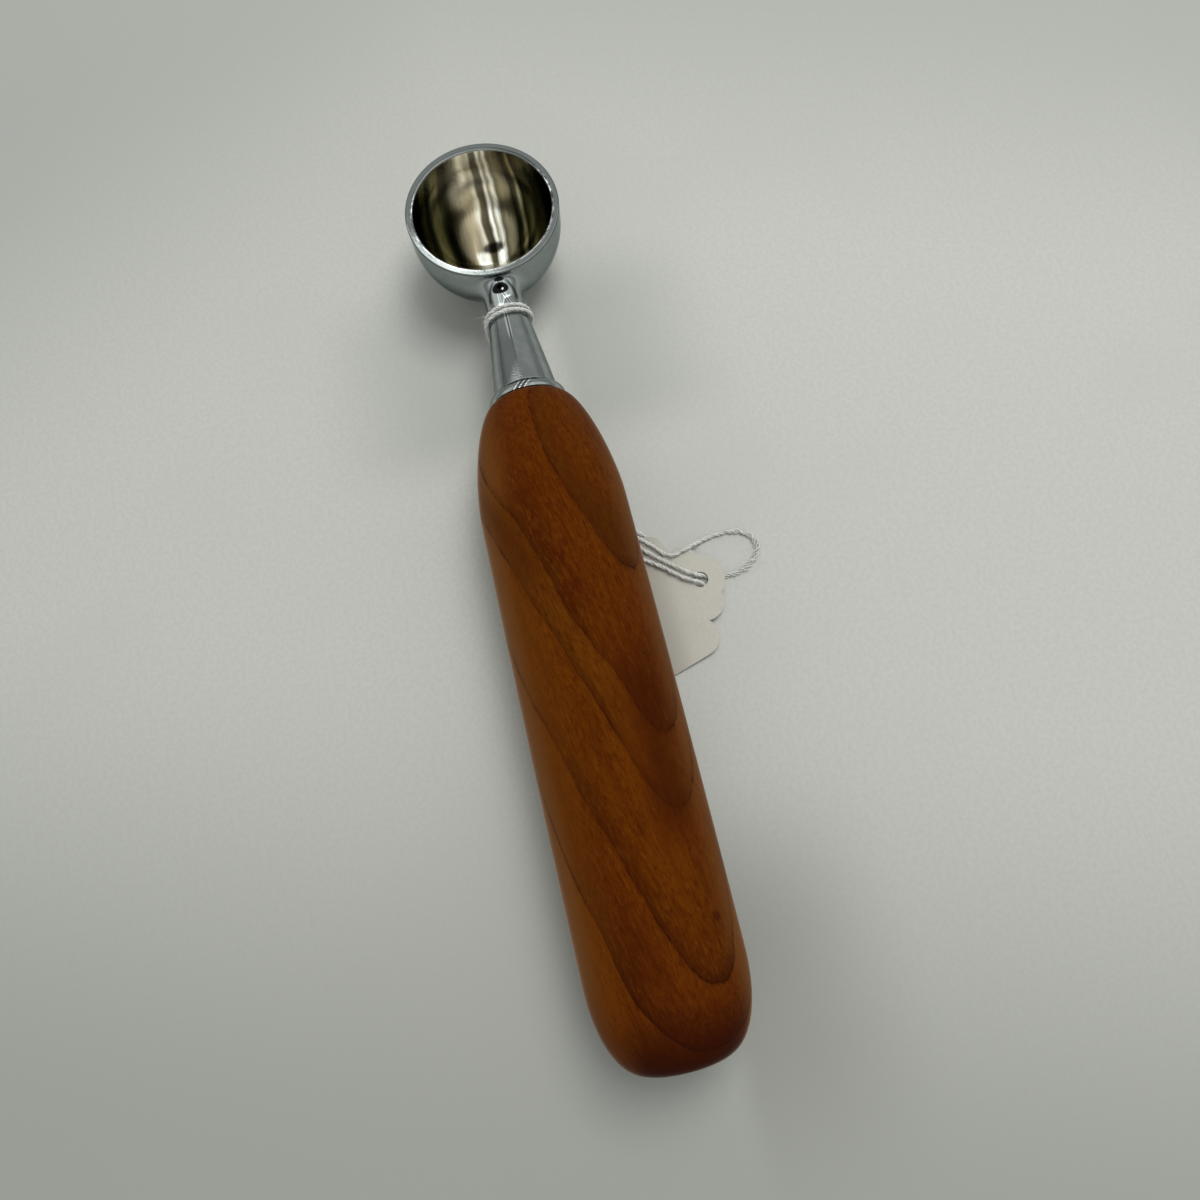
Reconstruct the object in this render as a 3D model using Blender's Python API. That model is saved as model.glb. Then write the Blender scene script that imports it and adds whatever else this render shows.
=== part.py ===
"""Coffee scoop: a plated bowl and neck that screw into a turned wooden handle.

The handle lies along X with the bowl at +X, open side up. Z = 0 is the table under it.
Lengths are in millimetres times MM, so that Blender gets metres.
"""
import math

import bmesh
import bpy
from mathutils import Vector
from mathutils.geometry import delaunay_2d_cdt

MM = 0.001
FULL_TURN = 2 * math.pi

# Gaps between pieces
SEAT_GAP = 0.3 * MM

# Handle
HANDLE_LENGTH = 152.0 * MM
HANDLE_RADIUS = 17.8 * MM
HANDLE_BELLY_AT = 76.0 * MM          # from the front face to the thickest place
HANDLE_BELLY_FALL = 0.25 * MM        # loss of radius this far from the belly
HANDLE_BELLY_REACH = 60.0 * MM
SHOULDER_LENGTH = 28.0 * MM
SHOULDER_POWER = 1.6
FACE_RADIUS = 9.7 * MM
BUTT_LENGTH = 20.0 * MM
BUTT_POWER = 2.2
BUTT_END_RADIUS = 8.0 * MM
BUTT_DOME = 0.5 * MM
END_CROWDING = 1.7                   # facets crowd towards both ends of the handle

# Bowl
BOWL_RADIUS = 19.65 * MM
BOWL_WALL = 1.95 * MM
BOWL_BAND = 5.85 * MM                # straight wall above the round bottom
RIM_OUTER_EASE = 0.3 * MM
RIM_INNER_EASE = 0.45 * MM
RIM_ABOVE_AXIS = 7.7 * MM
RIM_CENTRE_FROM_FACE = 53.0 * MM

# Neck
NECK_START = 3.4 * MM                # from the wood's face to the neck's wide end
NECK_TAPER_END = 26.0 * MM
NECK_WIDE_RADIUS = 7.95 * MM
NECK_NARROW_RADIUS = 4.95 * MM
NECK_TAPER_POWER = 1.1
NECK_EDGE_EASE = 0.25 * MM
FILLET_AT_SIDE = 3.3 * MM
FILLET_TOP_LOSS = 1.4 * MM           # the rim leaves less room for the fillet on top

# Collar ring
RING_THICKNESS = 2.8 * MM
RING_RADIUS = 9.65 * MM
RING_GROOVE_RADIUS = 8.0 * MM
RING_EASE = 0.35 * MM
RING_BORE_RADIUS = 4.4 * MM          # clear of the stud

# Thread, M8 x 1.25
THREAD_RADIUS = 4.0 * MM
THREAD_DEPTH = 0.7 * MM
THREAD_PITCH = 1.25 * MM
THREAD_FLAT = 0.12                   # share of the ramp that lies flat in the groove
THREAD_FLANK = 0.74                  # share of the ramp that climbs to the crest
STUD_IN_HANDLE = 11.0 * MM
STUD_IN_HEAD = 8.0 * MM
STUD_SHANK_RADIUS = 3.9 * MM
STUD_END_EASE = 0.4 * MM
STUD_SHANK_FOOT = 0.2 * MM           # the shank stops this far outside the wood
THREAD_RUN_OUT = 0.5 * MM

# Threaded insert
INSERT_RADIUS = 6.0 * MM
INSERT_RIB_DEPTH = 0.5 * MM
INSERT_RIBS = 4
INSERT_LENGTH = 12.5 * MM
INSERT_RECESS = 1.0 * MM
INSERT_EDGE_EASE = 0.4 * MM
INSERT_RIB_EASE = 0.2 * MM
INSERT_HOLE_SPARE = 3.0 * MM         # the wood's hole goes this much deeper than the insert
HOLE_MOUTH_EASE = 0.3 * MM
INSERT_THREAD_ALLOWANCE = 0.3 * MM   # the bush's thread stands this far outside the stud's

# String
STRING_DIAMETER = 1.0 * MM
TURN_PITCH = 1.45 * MM
TURN_COUNT = 1.75
TURNS_FROM_FACE = 26.1 * MM          # first turn, nearest the bowl
KNOT_RADIUS = 1.4 * MM
KNOT_OFFSET = (0.9 * MM, 1.45 * MM, -0.4 * MM)   # from the first turn's start, clear of the next turn

# Swing tag
TAG_THICKNESS = 0.3 * MM
TAG_HALF_WIDTH = 17.3 * MM
TAG_BACK = 22.0 * MM                 # from the hole to the straight end
TAG_CORNER = 3.0 * MM
TAG_HOLE_RADIUS = 2.0 * MM
TAG_HOLE_X = -9.2 * MM
TAG_HOLE_Y = -31.8 * MM
TAG_BEARING = math.radians(-72.7)    # way the scalloped end points, from +X
TAG_BACK_HEIGHT = 0.1 * MM
TAG_SLOPE = 0.0676                   # rise towards the scalloped end, over the string
CENTRE_LOBE = (0.0, 0.0, 6.2 * MM)   # across, along, radius
SIDE_LOBE = (5.3 * MM, -2.2 * MM, 5.0 * MM)
OUTER_LOBE = (12.5 * MM, -7.8 * MM, 4.8 * MM)

# Facets
HANDLE_SIDES = 56
BOWL_SIDES = 72
NECK_SIDES = 48
RING_SIDES = 56
THREAD_SIDES = 20
THREAD_ROWS = 5                      # rows of points in one pitch
BAND_ROWS = 4
ROUND_ROWS = 16
INNER_BAND_ROWS = 3
INNER_ROUND_ROWS = 13
SLIVER = 1e-4 * MM * MM              # triangles smaller than this are rounding errors
PATCH_SIDE_MARGIN = 1.6 * MM         # wall rewoven round the neck's fillet, beyond its foot
PATCH_LOWER_MARGIN = 1.2 * MM
PATCH_CLEARANCE = 0.7 * MM           # wall points nearer the fillet's foot than this are dropped

# Places in the shared frame
TOTAL_LENGTH = HANDLE_LENGTH + RIM_CENTRE_FROM_FACE + BOWL_RADIUS
FACE_X = HANDLE_LENGTH - TOTAL_LENGTH / 2
AXIS_Z = HANDLE_RADIUS
RIM_X = FACE_X + RIM_CENTRE_FROM_FACE
RIM_Z = AXIS_Z + RIM_ABOVE_AXIS

# Route of the free string, in millimetres: from the turns over the tag, down its hole, under it to
# a bend beneath the handle, back over the tag, round the loop, up the hole and back to the knot
STRING_ROUTE = [
    (63.0, 6.0, 12.6), (62.0, 5.0, 9.6), (59.8, 3.6, 6.6), (56.6, 1.9, 3.9), (52.6, 0.2, 1.9),
    (47.0, -1.6, 0.75), (36.0, -4.2, 0.6), (24.0, -6.4, 0.6), (12.0, -9.2, 0.8), (5.5, -13.0, 1.8),
    (-1.0, -19.6, 2.3), (-4.0, -23.4, 2.5), (-6.9, -26.6, 2.7), (-8.9, -29.2, 2.85),
    (-9.6, -30.9, 2.25), (-10.3, -32.2, 1.05), (-12.0, -33.0, 0.62), (-13.9, -31.9, 0.6),
    (-13.4, -30.0, 0.6), (-10.8, -28.7, 0.58), (-6.0, -27.2, 0.58), (-1.2, -25.8, 0.56),
    (2.9, -23.8, 0.56), (8.2, -18.9, 0.56), (11.2, -17.9, 0.56), (13.6, -16.9, 0.58),
    (13.7, -14.6, 0.65), (11.4, -14.0, 0.9), (9.0, -15.6, 1.4), (6.2, -18.2, 2.1), (2.1, -22.2, 2.35),
    (-0.5, -24.5, 2.5), (-1.5, -26.4, 2.65), (-1.1, -28.8, 2.75), (-0.4, -31.2, 2.65), (0.8, -34.4, 1.1),
    (1.7, -38.4, 0.6), (1.7, -42.8, 0.6), (-0.4, -47.0, 0.6), (-4.3, -48.2, 0.6), (-7.8, -45.4, 0.6),
    (-9.3, -41.2, 0.6), (-9.4, -37.0, 0.6), (-8.9, -34.4, 0.62), (-8.3, -33.0, 1.05),
    (-7.95, -31.6, 2.1), (-7.2, -29.8, 2.9), (-4.4, -26.4, 2.65), (-1.5, -23.0, 2.45), (1.9, -19.6, 2.3),
    (6.6, -14.6, 1.9), (12.0, -11.2, 0.85), (22.0, -8.8, 0.6), (36.0, -6.6, 0.6), (47.5, -4.2, 0.8),
    (54.0, -2.2, 2.0), (59.3, -0.4, 3.8), (63.4, 1.0, 6.2), (65.8, 1.7, 8.0),
]
ROUTE_STEP = 10.0 * MM               # longest stretch between two points of the tube
ROUTE_TURN = 0.6                     # widest turn between two of them, in radians


def clear_scene():
    for old in list(bpy.data.objects):
        bpy.data.objects.remove(old, do_unlink=True)


def make_material(name, colour, metallic, roughness):
    material = bpy.data.materials.new(name)
    material.use_nodes = True
    shader = material.node_tree.nodes["Principled BSDF"]
    shader.inputs["Base Color"].default_value = (*colour, 1.0)
    shader.inputs["Metallic"].default_value = metallic
    shader.inputs["Roughness"].default_value = roughness
    return material


def add_object(name, data, material):
    data.materials.append(material)
    thing = bpy.data.objects.new(name, data)
    bpy.context.scene.collection.objects.link(thing)
    return thing


def finish_mesh(name, mesh_maker, material, sharp_degrees=35):
    """Turn a bmesh into a named object, faces out and shaded smooth."""
    bmesh.ops.recalc_face_normals(mesh_maker, faces=mesh_maker.faces)
    mesh = bpy.data.meshes.new(name)
    mesh_maker.to_mesh(mesh)
    mesh_maker.free()
    mesh.shade_smooth()
    mesh.set_sharp_from_angle(angle=math.radians(sharp_degrees))
    return add_object(name, mesh, material)


def axis_point(x, radius, angle):
    """A place at this radius and angle round the handle's axis."""
    return Vector((x, radius * math.cos(angle), AXIS_Z + radius * math.sin(angle)))


def circle_ring(maker, x, radius, sides):
    """Vertices of a circle about the handle's axis."""
    ring = []
    for side in range(sides):
        angle = FULL_TURN * side / sides
        ring.append(maker.verts.new(axis_point(x, radius, angle)))
    return ring


def join_rings(maker, first, second):
    """A band of faces between two rings of as many vertices."""
    count = len(first)
    for side in range(count):
        following = (side + 1) % count
        maker.faces.new((first[side], first[following], second[following], second[side]))


def skin_rings(maker, rings, closed=False):
    for first, second in zip(rings, rings[1:]):
        join_rings(maker, first, second)
    if closed:
        join_rings(maker, rings[-1], rings[0])


def turned_solid(name, profile, sides, material, hollow=False):
    """A solid turned about the handle's axis from (x, radius) points."""
    maker = bmesh.new()
    rings = [circle_ring(maker, x, radius, sides) for x, radius in profile]
    skin_rings(maker, rings, closed=hollow)
    if not hollow:
        maker.faces.new(rings[0])
        maker.faces.new(rings[-1])
    return finish_mesh(name, maker, material)


def handle_body_radius(from_face):
    """Radius of the plain barrel before its ends are rounded."""
    reach = (from_face - HANDLE_BELLY_AT) / HANDLE_BELLY_REACH
    return HANDLE_RADIUS - HANDLE_BELLY_FALL * reach * reach


def rounded(share, power):
    """Rise from 0 to 1 along an end that is rounded more boldly as the power grows."""
    return (1 - (1 - share) ** power) ** (1 / power)


def handle_profile():
    """Outer outline of the handle, from the front face to the butt."""
    outline = []
    shoulder_steps = 12
    for step in range(shoulder_steps + 1):
        share = (step / shoulder_steps) ** END_CROWDING
        place = share * SHOULDER_LENGTH
        body = handle_body_radius(place)
        radius = FACE_RADIUS + (body - FACE_RADIUS) * rounded(share, SHOULDER_POWER)
        outline.append((FACE_X - place, radius))
    barrel_steps = 9
    barrel_length = HANDLE_LENGTH - SHOULDER_LENGTH - BUTT_LENGTH
    for step in range(1, barrel_steps):
        place = SHOULDER_LENGTH + barrel_length * step / barrel_steps
        outline.append((FACE_X - place, handle_body_radius(place)))
    butt_steps = 11
    for step in range(butt_steps, -1, -1):
        share = (step / butt_steps) ** END_CROWDING
        place = HANDLE_LENGTH - BUTT_DOME - share * (BUTT_LENGTH - BUTT_DOME)
        body = handle_body_radius(place)
        radius = BUTT_END_RADIUS + (body - BUTT_END_RADIUS) * rounded(share, BUTT_POWER)
        outline.append((FACE_X - place, radius))
    for dome_share in (0.8, 0.4):
        rise = BUTT_DOME * dome_share ** 2
        outline.append((FACE_X - HANDLE_LENGTH + rise, BUTT_END_RADIUS * dome_share))
    return outline


def make_handle(wood):
    """Turned wood with a blind hole for the insert."""
    bore_radius = INSERT_RADIUS + SEAT_GAP
    bore_end = FACE_X - INSERT_RECESS - INSERT_LENGTH - INSERT_HOLE_SPARE
    bore = [
        (bore_end, bore_radius),
        (FACE_X - HOLE_MOUTH_EASE, bore_radius),
        (FACE_X, bore_radius + HOLE_MOUTH_EASE),
    ]
    return turned_solid("handle", bore + handle_profile(), HANDLE_SIDES, wood)


def thread_height(turns_along, turn_share):
    """Share of the thread's full height, 0 in the groove and 1 on the crest."""
    phase = (turns_along - turn_share) % 1.0
    ramp = abs(2 * phase - 1)
    return min(1.0, max(0.0, (ramp - THREAD_FLAT) / THREAD_FLANK))


def thread_rings(maker, start_x, end_x, crest_radius, groove_radius):
    """Rings that carry a right-hand helical thread, fading out at both ends."""
    rows = max(2, round(abs(end_x - start_x) / THREAD_PITCH * THREAD_ROWS))
    rings = []
    for row in range(rows + 1):
        x = start_x + (end_x - start_x) * row / rows
        fade = min(1.0, row / THREAD_ROWS, (rows - row) / THREAD_ROWS)
        ring = []
        for side in range(THREAD_SIDES):
            share = side / THREAD_SIDES
            height = thread_height((x - FACE_X) / THREAD_PITCH, share) * fade
            radius = groove_radius + (crest_radius - groove_radius) * height
            angle = FULL_TURN * share
            ring.append(maker.verts.new(axis_point(x, radius, angle)))
        rings.append(ring)
    return rings


def make_stud(steel):
    """Steel stud: plain shank in the head, thread in the insert."""
    maker = bmesh.new()
    head_end = FACE_X + NECK_START + STUD_IN_HEAD - SEAT_GAP
    shank_foot = FACE_X + STUD_SHANK_FOOT
    tip = FACE_X - STUD_IN_HANDLE
    groove = THREAD_RADIUS - THREAD_DEPTH
    rings = [
        circle_ring(maker, head_end, STUD_SHANK_RADIUS - STUD_END_EASE, THREAD_SIDES),
        circle_ring(maker, head_end - STUD_END_EASE, STUD_SHANK_RADIUS, THREAD_SIDES),
        circle_ring(maker, shank_foot, STUD_SHANK_RADIUS, THREAD_SIDES),
    ]
    rings += thread_rings(maker, shank_foot - THREAD_RUN_OUT, tip + THREAD_RUN_OUT, THREAD_RADIUS, groove)
    rings.append(circle_ring(maker, tip, groove - STUD_END_EASE, THREAD_SIDES))
    skin_rings(maker, rings)
    maker.faces.new(rings[0])
    maker.faces.new(rings[-1])
    return finish_mesh("threaded_stud", maker, steel)


def make_insert(brass):
    """Ribbed brass bush with the matching internal thread."""
    maker = bmesh.new()
    front = FACE_X - INSERT_RECESS
    back = front - INSERT_LENGTH
    rings = [circle_ring(maker, front, INSERT_RADIUS - INSERT_EDGE_EASE, THREAD_SIDES)]
    rib_pitch = (INSERT_LENGTH - 2 * INSERT_EDGE_EASE) / (2 * INSERT_RIBS - 1)
    for rib in range(INSERT_RIBS):
        rib_front = front - INSERT_EDGE_EASE - 2 * rib * rib_pitch
        rib_back = rib_front - rib_pitch
        rings.append(circle_ring(maker, rib_front, INSERT_RADIUS, THREAD_SIDES))
        rings.append(circle_ring(maker, rib_back, INSERT_RADIUS, THREAD_SIDES))
        if rib < INSERT_RIBS - 1:
            low = INSERT_RADIUS - INSERT_RIB_DEPTH
            rings.append(circle_ring(maker, rib_back - INSERT_RIB_EASE, low, THREAD_SIDES))
            rings.append(circle_ring(maker, rib_back - rib_pitch + INSERT_RIB_EASE, low, THREAD_SIDES))
    rings.append(circle_ring(maker, back, INSERT_RADIUS - INSERT_EDGE_EASE, THREAD_SIDES))
    wide = THREAD_RADIUS + INSERT_THREAD_ALLOWANCE
    rings += insert_thread(maker, back, front, wide)
    skin_rings(maker, rings, closed=True)
    return finish_mesh("threaded_insert", maker, brass)


def insert_thread(maker, back, front, wide):
    """The bush's thread: wide at both mouths, narrow on the crests that grip the stud."""
    rows = round((front - back) / THREAD_PITCH * THREAD_ROWS)
    rings = []
    for row in range(rows + 1):
        x = back + (front - back) * row / rows
        fade = min(1.0, row / THREAD_ROWS, (rows - row) / THREAD_ROWS)
        ring = []
        for side in range(THREAD_SIDES):
            share = side / THREAD_SIDES
            groove = thread_height((x - FACE_X) / THREAD_PITCH, share)
            radius = wide - THREAD_DEPTH * (1 - groove) * fade
            angle = FULL_TURN * share
            ring.append(maker.verts.new(axis_point(x, radius, angle)))
        rings.append(ring)
    return rings


def make_collar_ring(chrome):
    """Half-round ring between the wood and the neck's wide end."""
    back = FACE_X + SEAT_GAP
    front = back + RING_THICKNESS
    outline = [
        (back, RING_BORE_RADIUS),
        (back, RING_RADIUS - 2 * RING_EASE),
        (back + RING_EASE, RING_RADIUS - RING_EASE / 2),
    ]
    bulge_steps = 7
    for step in range(bulge_steps + 1):
        angle = math.pi / 2 * step / bulge_steps
        reach = RING_RADIUS - RING_GROOVE_RADIUS
        radius = RING_GROOVE_RADIUS + reach * math.cos(angle)
        x = back + 2 * RING_EASE + (RING_THICKNESS - 2 * RING_EASE) * math.sin(angle)
        outline.append((x, radius))
    outline.append((front, RING_BORE_RADIUS))
    return turned_solid("collar_ring", outline, RING_SIDES, chrome, hollow=True)


def bowl_depth_radius(along, radius):
    """Depth under the rim and radius, for a distance measured down the wall from the rim."""
    if along <= BOWL_BAND:
        return along, radius
    angle = (along - BOWL_BAND) / radius
    return BOWL_BAND + radius * math.sin(angle), radius * math.cos(angle)


def bowl_point(turn_angle, depth, radius):
    return Vector((RIM_X + radius * math.cos(turn_angle), radius * math.sin(turn_angle), RIM_Z - depth))


def wall_radius_at(height):
    depth = RIM_Z - height
    if depth <= BOWL_BAND:
        return BOWL_RADIUS
    return math.sqrt(BOWL_RADIUS ** 2 - (depth - BOWL_BAND) ** 2)


def wall_x(side, height):
    """Where the bowl's outer wall stands, on the neck's side."""
    return RIM_X - math.sqrt(wall_radius_at(height) ** 2 - side ** 2)


def neck_radius(from_face):
    """The neck's taper between its wide end and the narrow place by the bowl."""
    share = min(1.0, (from_face - NECK_START) / (NECK_TAPER_END - NECK_START))
    return NECK_WIDE_RADIUS - (NECK_WIDE_RADIUS - NECK_NARROW_RADIUS) * share ** NECK_TAPER_POWER


def fillet_curve(angle, steps):
    """Points (x, radius) of the fillet at one angle round the neck, tangent to neck and wall."""
    size = FILLET_AT_SIDE - FILLET_TOP_LOSS * math.sin(angle)
    inner = NECK_NARROW_RADIUS
    outer = inner + size

    def wall_at(radius):
        return wall_x(radius * math.cos(angle), AXIS_Z + radius * math.sin(angle))

    nudge = 0.01 * MM
    slope = (wall_at(outer + nudge) - wall_at(outer - nudge)) / (2 * nudge)
    end = Vector((wall_at(outer), outer))
    corner = Vector((end.x - slope * size, inner))
    start = Vector((corner.x - size, inner))
    curve = []
    for step in range(steps + 1):
        share = step / steps
        point = start * (1 - share) ** 2 + corner * (2 * share * (1 - share)) + end * share ** 2
        curve.append((point.x, point.y))
    curve[-1] = (end.x, end.y)
    return curve


def neck_rings(maker):
    """Rings from the neck's wide end to the foot of the fillet on the bowl's wall."""
    rings = []
    start = FACE_X + NECK_START
    rings.append(circle_ring(maker, start, NECK_WIDE_RADIUS - NECK_EDGE_EASE, NECK_SIDES))
    eased = NECK_START + NECK_EDGE_EASE
    taper_steps = 9
    for step in range(taper_steps + 1):
        from_face = eased + (NECK_TAPER_END - eased) * step / taper_steps
        rings.append(circle_ring(maker, FACE_X + from_face, neck_radius(from_face), NECK_SIDES))
    fillet_steps = 7
    angles = [FULL_TURN * side / NECK_SIDES for side in range(NECK_SIDES)]
    curves = [fillet_curve(angle, fillet_steps) for angle in angles]
    for step in range(fillet_steps + 1):
        ring = []
        for angle, curve in zip(angles, curves):
            x, radius = curve[step]
            ring.append(maker.verts.new(axis_point(x, radius, angle)))
        rings.append(ring)
    return rings


def bowl_rows():
    """Outer wall rows, from the rim's eased edge to just above the lowest point."""
    band = BOWL_BAND - RIM_OUTER_EASE
    rows = [RIM_OUTER_EASE + band * step / BAND_ROWS for step in range(BAND_ROWS)]
    quarter = BOWL_RADIUS * math.pi / 2
    rows += [BOWL_BAND + quarter * step / ROUND_ROWS for step in range(ROUND_ROWS)]
    return rows


def inner_rows(radius):
    """Inner wall rows, the same way down."""
    band = BOWL_BAND - RIM_INNER_EASE
    rows = [RIM_INNER_EASE + band * step / INNER_BAND_ROWS for step in range(INNER_BAND_ROWS)]
    quarter = radius * math.pi / 2
    rows += [BOWL_BAND + quarter * step / INNER_ROUND_ROWS for step in range(INNER_ROUND_ROWS)]
    return rows


def bowl_ring(maker, along, radius):
    depth, ring_radius = bowl_depth_radius(along, radius)
    # the first vertex faces away from the neck, so the neck's side lies in the middle of the ring
    return [
        maker.verts.new(bowl_point(FULL_TURN * side / BOWL_SIDES, depth, ring_radius))
        for side in range(BOWL_SIDES)
    ]


def flat_place(point):
    """Unroll a point of the outer wall: across the neck's side, and down the wall."""
    turn_angle = math.atan2(point.y, point.x - RIM_X) % FULL_TURN
    depth = RIM_Z - point.z
    along = depth
    if depth > BOWL_BAND:
        along = BOWL_BAND + BOWL_RADIUS * math.asin(min(1.0, (depth - BOWL_BAND) / BOWL_RADIUS))
    return Vector((BOWL_RADIUS * (turn_angle - math.pi), along))


def inside_outline(place, outline):
    """Even-odd test of a flat point against a closed outline."""
    inside = False
    for first, second in zip(outline, outline[1:] + outline[:1]):
        if (first.y > place.y) != (second.y > place.y):
            crossing = first.x + (place.y - first.y) / (second.y - first.y) * (second.x - first.x)
            if place.x < crossing:
                inside = not inside
    return inside


def outline_distance(place, outline):
    return min((place - corner).length for corner in outline)


def weave_neck_into_wall(maker, outer_rings, rows, fillet_foot):
    """Fill the patch of wall round the fillet's foot with triangles on the true surface."""
    foot_outline = [flat_place(vert.co) for vert in fillet_foot]
    reach = max(abs(corner.x) for corner in foot_outline) + PATCH_SIDE_MARGIN
    side_step = BOWL_RADIUS * FULL_TURN / BOWL_SIDES
    half_columns = math.ceil(reach / side_step)
    middle = BOWL_SIDES // 2
    columns = range(middle - half_columns, middle + half_columns + 1)
    lowest = max(corner.y for corner in foot_outline) + PATCH_LOWER_MARGIN
    last_row = next(index for index, along in enumerate(rows) if along > lowest)
    patch = []
    for row in range(last_row + 1):
        for column in columns:
            vert = outer_rings[row][column]
            place = Vector((side_step * (column - middle), rows[row]))
            edge = row in (0, last_row) or column in (columns[0], columns[-1])
            inside = inside_outline(place, foot_outline)
            if edge or not (inside or outline_distance(place, foot_outline) < PATCH_CLEARANCE):
                patch.append((vert, place))
            else:
                maker.verts.remove(vert)
                outer_rings[row][column] = None
    patch += list(zip(fillet_foot, foot_outline))
    places = [place for vert, place in patch]
    foot_start = len(patch) - len(fillet_foot)
    count = len(fillet_foot)
    foot_edges = [(foot_start + side, foot_start + (side + 1) % count) for side in range(count)]
    result = delaunay_2d_cdt(places, foot_edges, [], 0, 1e-9)
    for triangle in result[2]:
        corners = [result[3][corner][0] for corner in triangle]
        first, second, third = (places[corner] for corner in corners)
        centre = (first + second + third) / 3
        doubled_area = abs((second - first).cross(third - first))
        if doubled_area > SLIVER and not inside_outline(centre, foot_outline):
            maker.faces.new([patch[corner][0] for corner in corners])
    return columns, last_row


def skin_bowl(maker, rings, columns, last_row):
    """Faces between the bowl's rings, leaving the woven patch alone."""
    for row, (first, second) in enumerate(zip(rings, rings[1:])):
        for side in range(BOWL_SIDES):
            if row < last_row and columns[0] <= side < columns[-1]:
                continue
            following = (side + 1) % BOWL_SIDES
            maker.faces.new((first[side], first[following], second[following], second[side]))


def close_pole(maker, ring, lowest):
    pole = maker.verts.new((RIM_X, 0.0, RIM_Z - lowest))
    for side in range(len(ring)):
        maker.faces.new((ring[side], ring[(side + 1) % len(ring)], pole))


def make_scoop_head(chrome):
    """Bowl and neck in one casting, with a blind hole for the stud."""
    maker = bmesh.new()
    rows = bowl_rows()
    outer = [bowl_ring(maker, along, BOWL_RADIUS) for along in rows]
    neck = neck_rings(maker)
    columns, last_row = weave_neck_into_wall(maker, outer, rows, neck[-1])
    skin_bowl(maker, outer, columns, last_row)
    close_pole(maker, outer[-1], BOWL_BAND + BOWL_RADIUS)

    inner_radius = BOWL_RADIUS - BOWL_WALL
    inner = [bowl_ring(maker, along, inner_radius) for along in inner_rows(inner_radius)]
    rim_outer = bowl_ring(maker, 0.0, BOWL_RADIUS - RIM_OUTER_EASE)
    rim_inner = bowl_ring(maker, 0.0, inner_radius + RIM_INNER_EASE)
    skin_rings(maker, [outer[0], rim_outer, rim_inner] + inner)
    close_pole(maker, inner[-1], BOWL_BAND + inner_radius)

    skin_rings(maker, neck)
    bore_radius = STUD_SHANK_RADIUS + SEAT_GAP
    mouth = FACE_X + NECK_START
    bore = [
        circle_ring(maker, mouth + STUD_IN_HEAD, bore_radius, NECK_SIDES),
        circle_ring(maker, mouth, bore_radius, NECK_SIDES),
    ]
    skin_rings(maker, bore + [neck[0]])
    maker.faces.new(bore[0])
    return finish_mesh("scoop_head", maker, chrome)


def tube(name, points, bevel_resolution, material):
    """A round tube along points, as a curve with filled caps."""
    curve = bpy.data.curves.new(name, "CURVE")
    curve.dimensions = "3D"
    curve.bevel_depth = STRING_DIAMETER / 2
    curve.bevel_resolution = bevel_resolution
    curve.use_fill_caps = True
    spline = curve.splines.new("POLY")
    spline.points.add(len(points) - 1)
    for spot, point in zip(spline.points, points):
        spot.co = (*point, 1.0)
    return add_object(name, curve, material)


def smooth_through(knots, longest):
    """Points of a smooth curve through the given ones, no two farther apart than longest."""
    padded = [2 * knots[0] - knots[1]] + knots + [2 * knots[-1] - knots[-2]]
    points = [knots[0]]
    for before, start, end, after in zip(padded, padded[1:], padded[2:], padded[3:]):
        length = (end - start).length
        leave = (end - before).normalized() * length
        arrive = (after - start).normalized() * length
        turn = leave.angle(arrive)
        pieces = max(1, math.ceil(length / longest), math.ceil(turn / ROUTE_TURN))
        for piece in range(1, pieces + 1):
            share = piece / pieces
            points.append(
                start * (2 * share ** 3 - 3 * share ** 2 + 1)
                + leave * (share ** 3 - 2 * share ** 2 + share)
                + end * (3 * share ** 2 - 2 * share ** 3)
                + arrive * (share ** 3 - share ** 2)
            )
    return points


def turn_place(turns):
    """Centre of the string on the neck, this many turns from the knot, starting underneath."""
    from_face = TURNS_FROM_FACE - TURN_PITCH * turns
    radius = neck_radius(from_face) + SEAT_GAP + STRING_DIAMETER / 2
    angle = -math.pi / 2 - FULL_TURN * turns
    return axis_point(FACE_X + from_face, radius, angle)


def string_turn_points():
    points_per_turn = 24
    count = round(TURN_COUNT * points_per_turn)
    turns = [turn_place(step / points_per_turn) for step in range(count + 1)]
    lead_in = turns[0] + Vector((0.0, STRING_DIAMETER, 0.0))
    lead_out = turns[-1] - Vector((0.0, 0.0, STRING_DIAMETER))
    return [lead_in] + turns + [lead_out]


def least_gap_to_itself(points):
    """Smallest clear space between stretches of the tube that aren't neighbours."""
    along = [0.0]
    for first, second in zip(points, points[1:]):
        along.append(along[-1] + (second - first).length)
    gaps = [
        (points[i] - points[j]).length - STRING_DIAMETER
        for i in range(len(points))
        for j in range(i)
        if along[i] - along[j] > 5 * STRING_DIAMETER
    ]
    return min(gaps)


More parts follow.
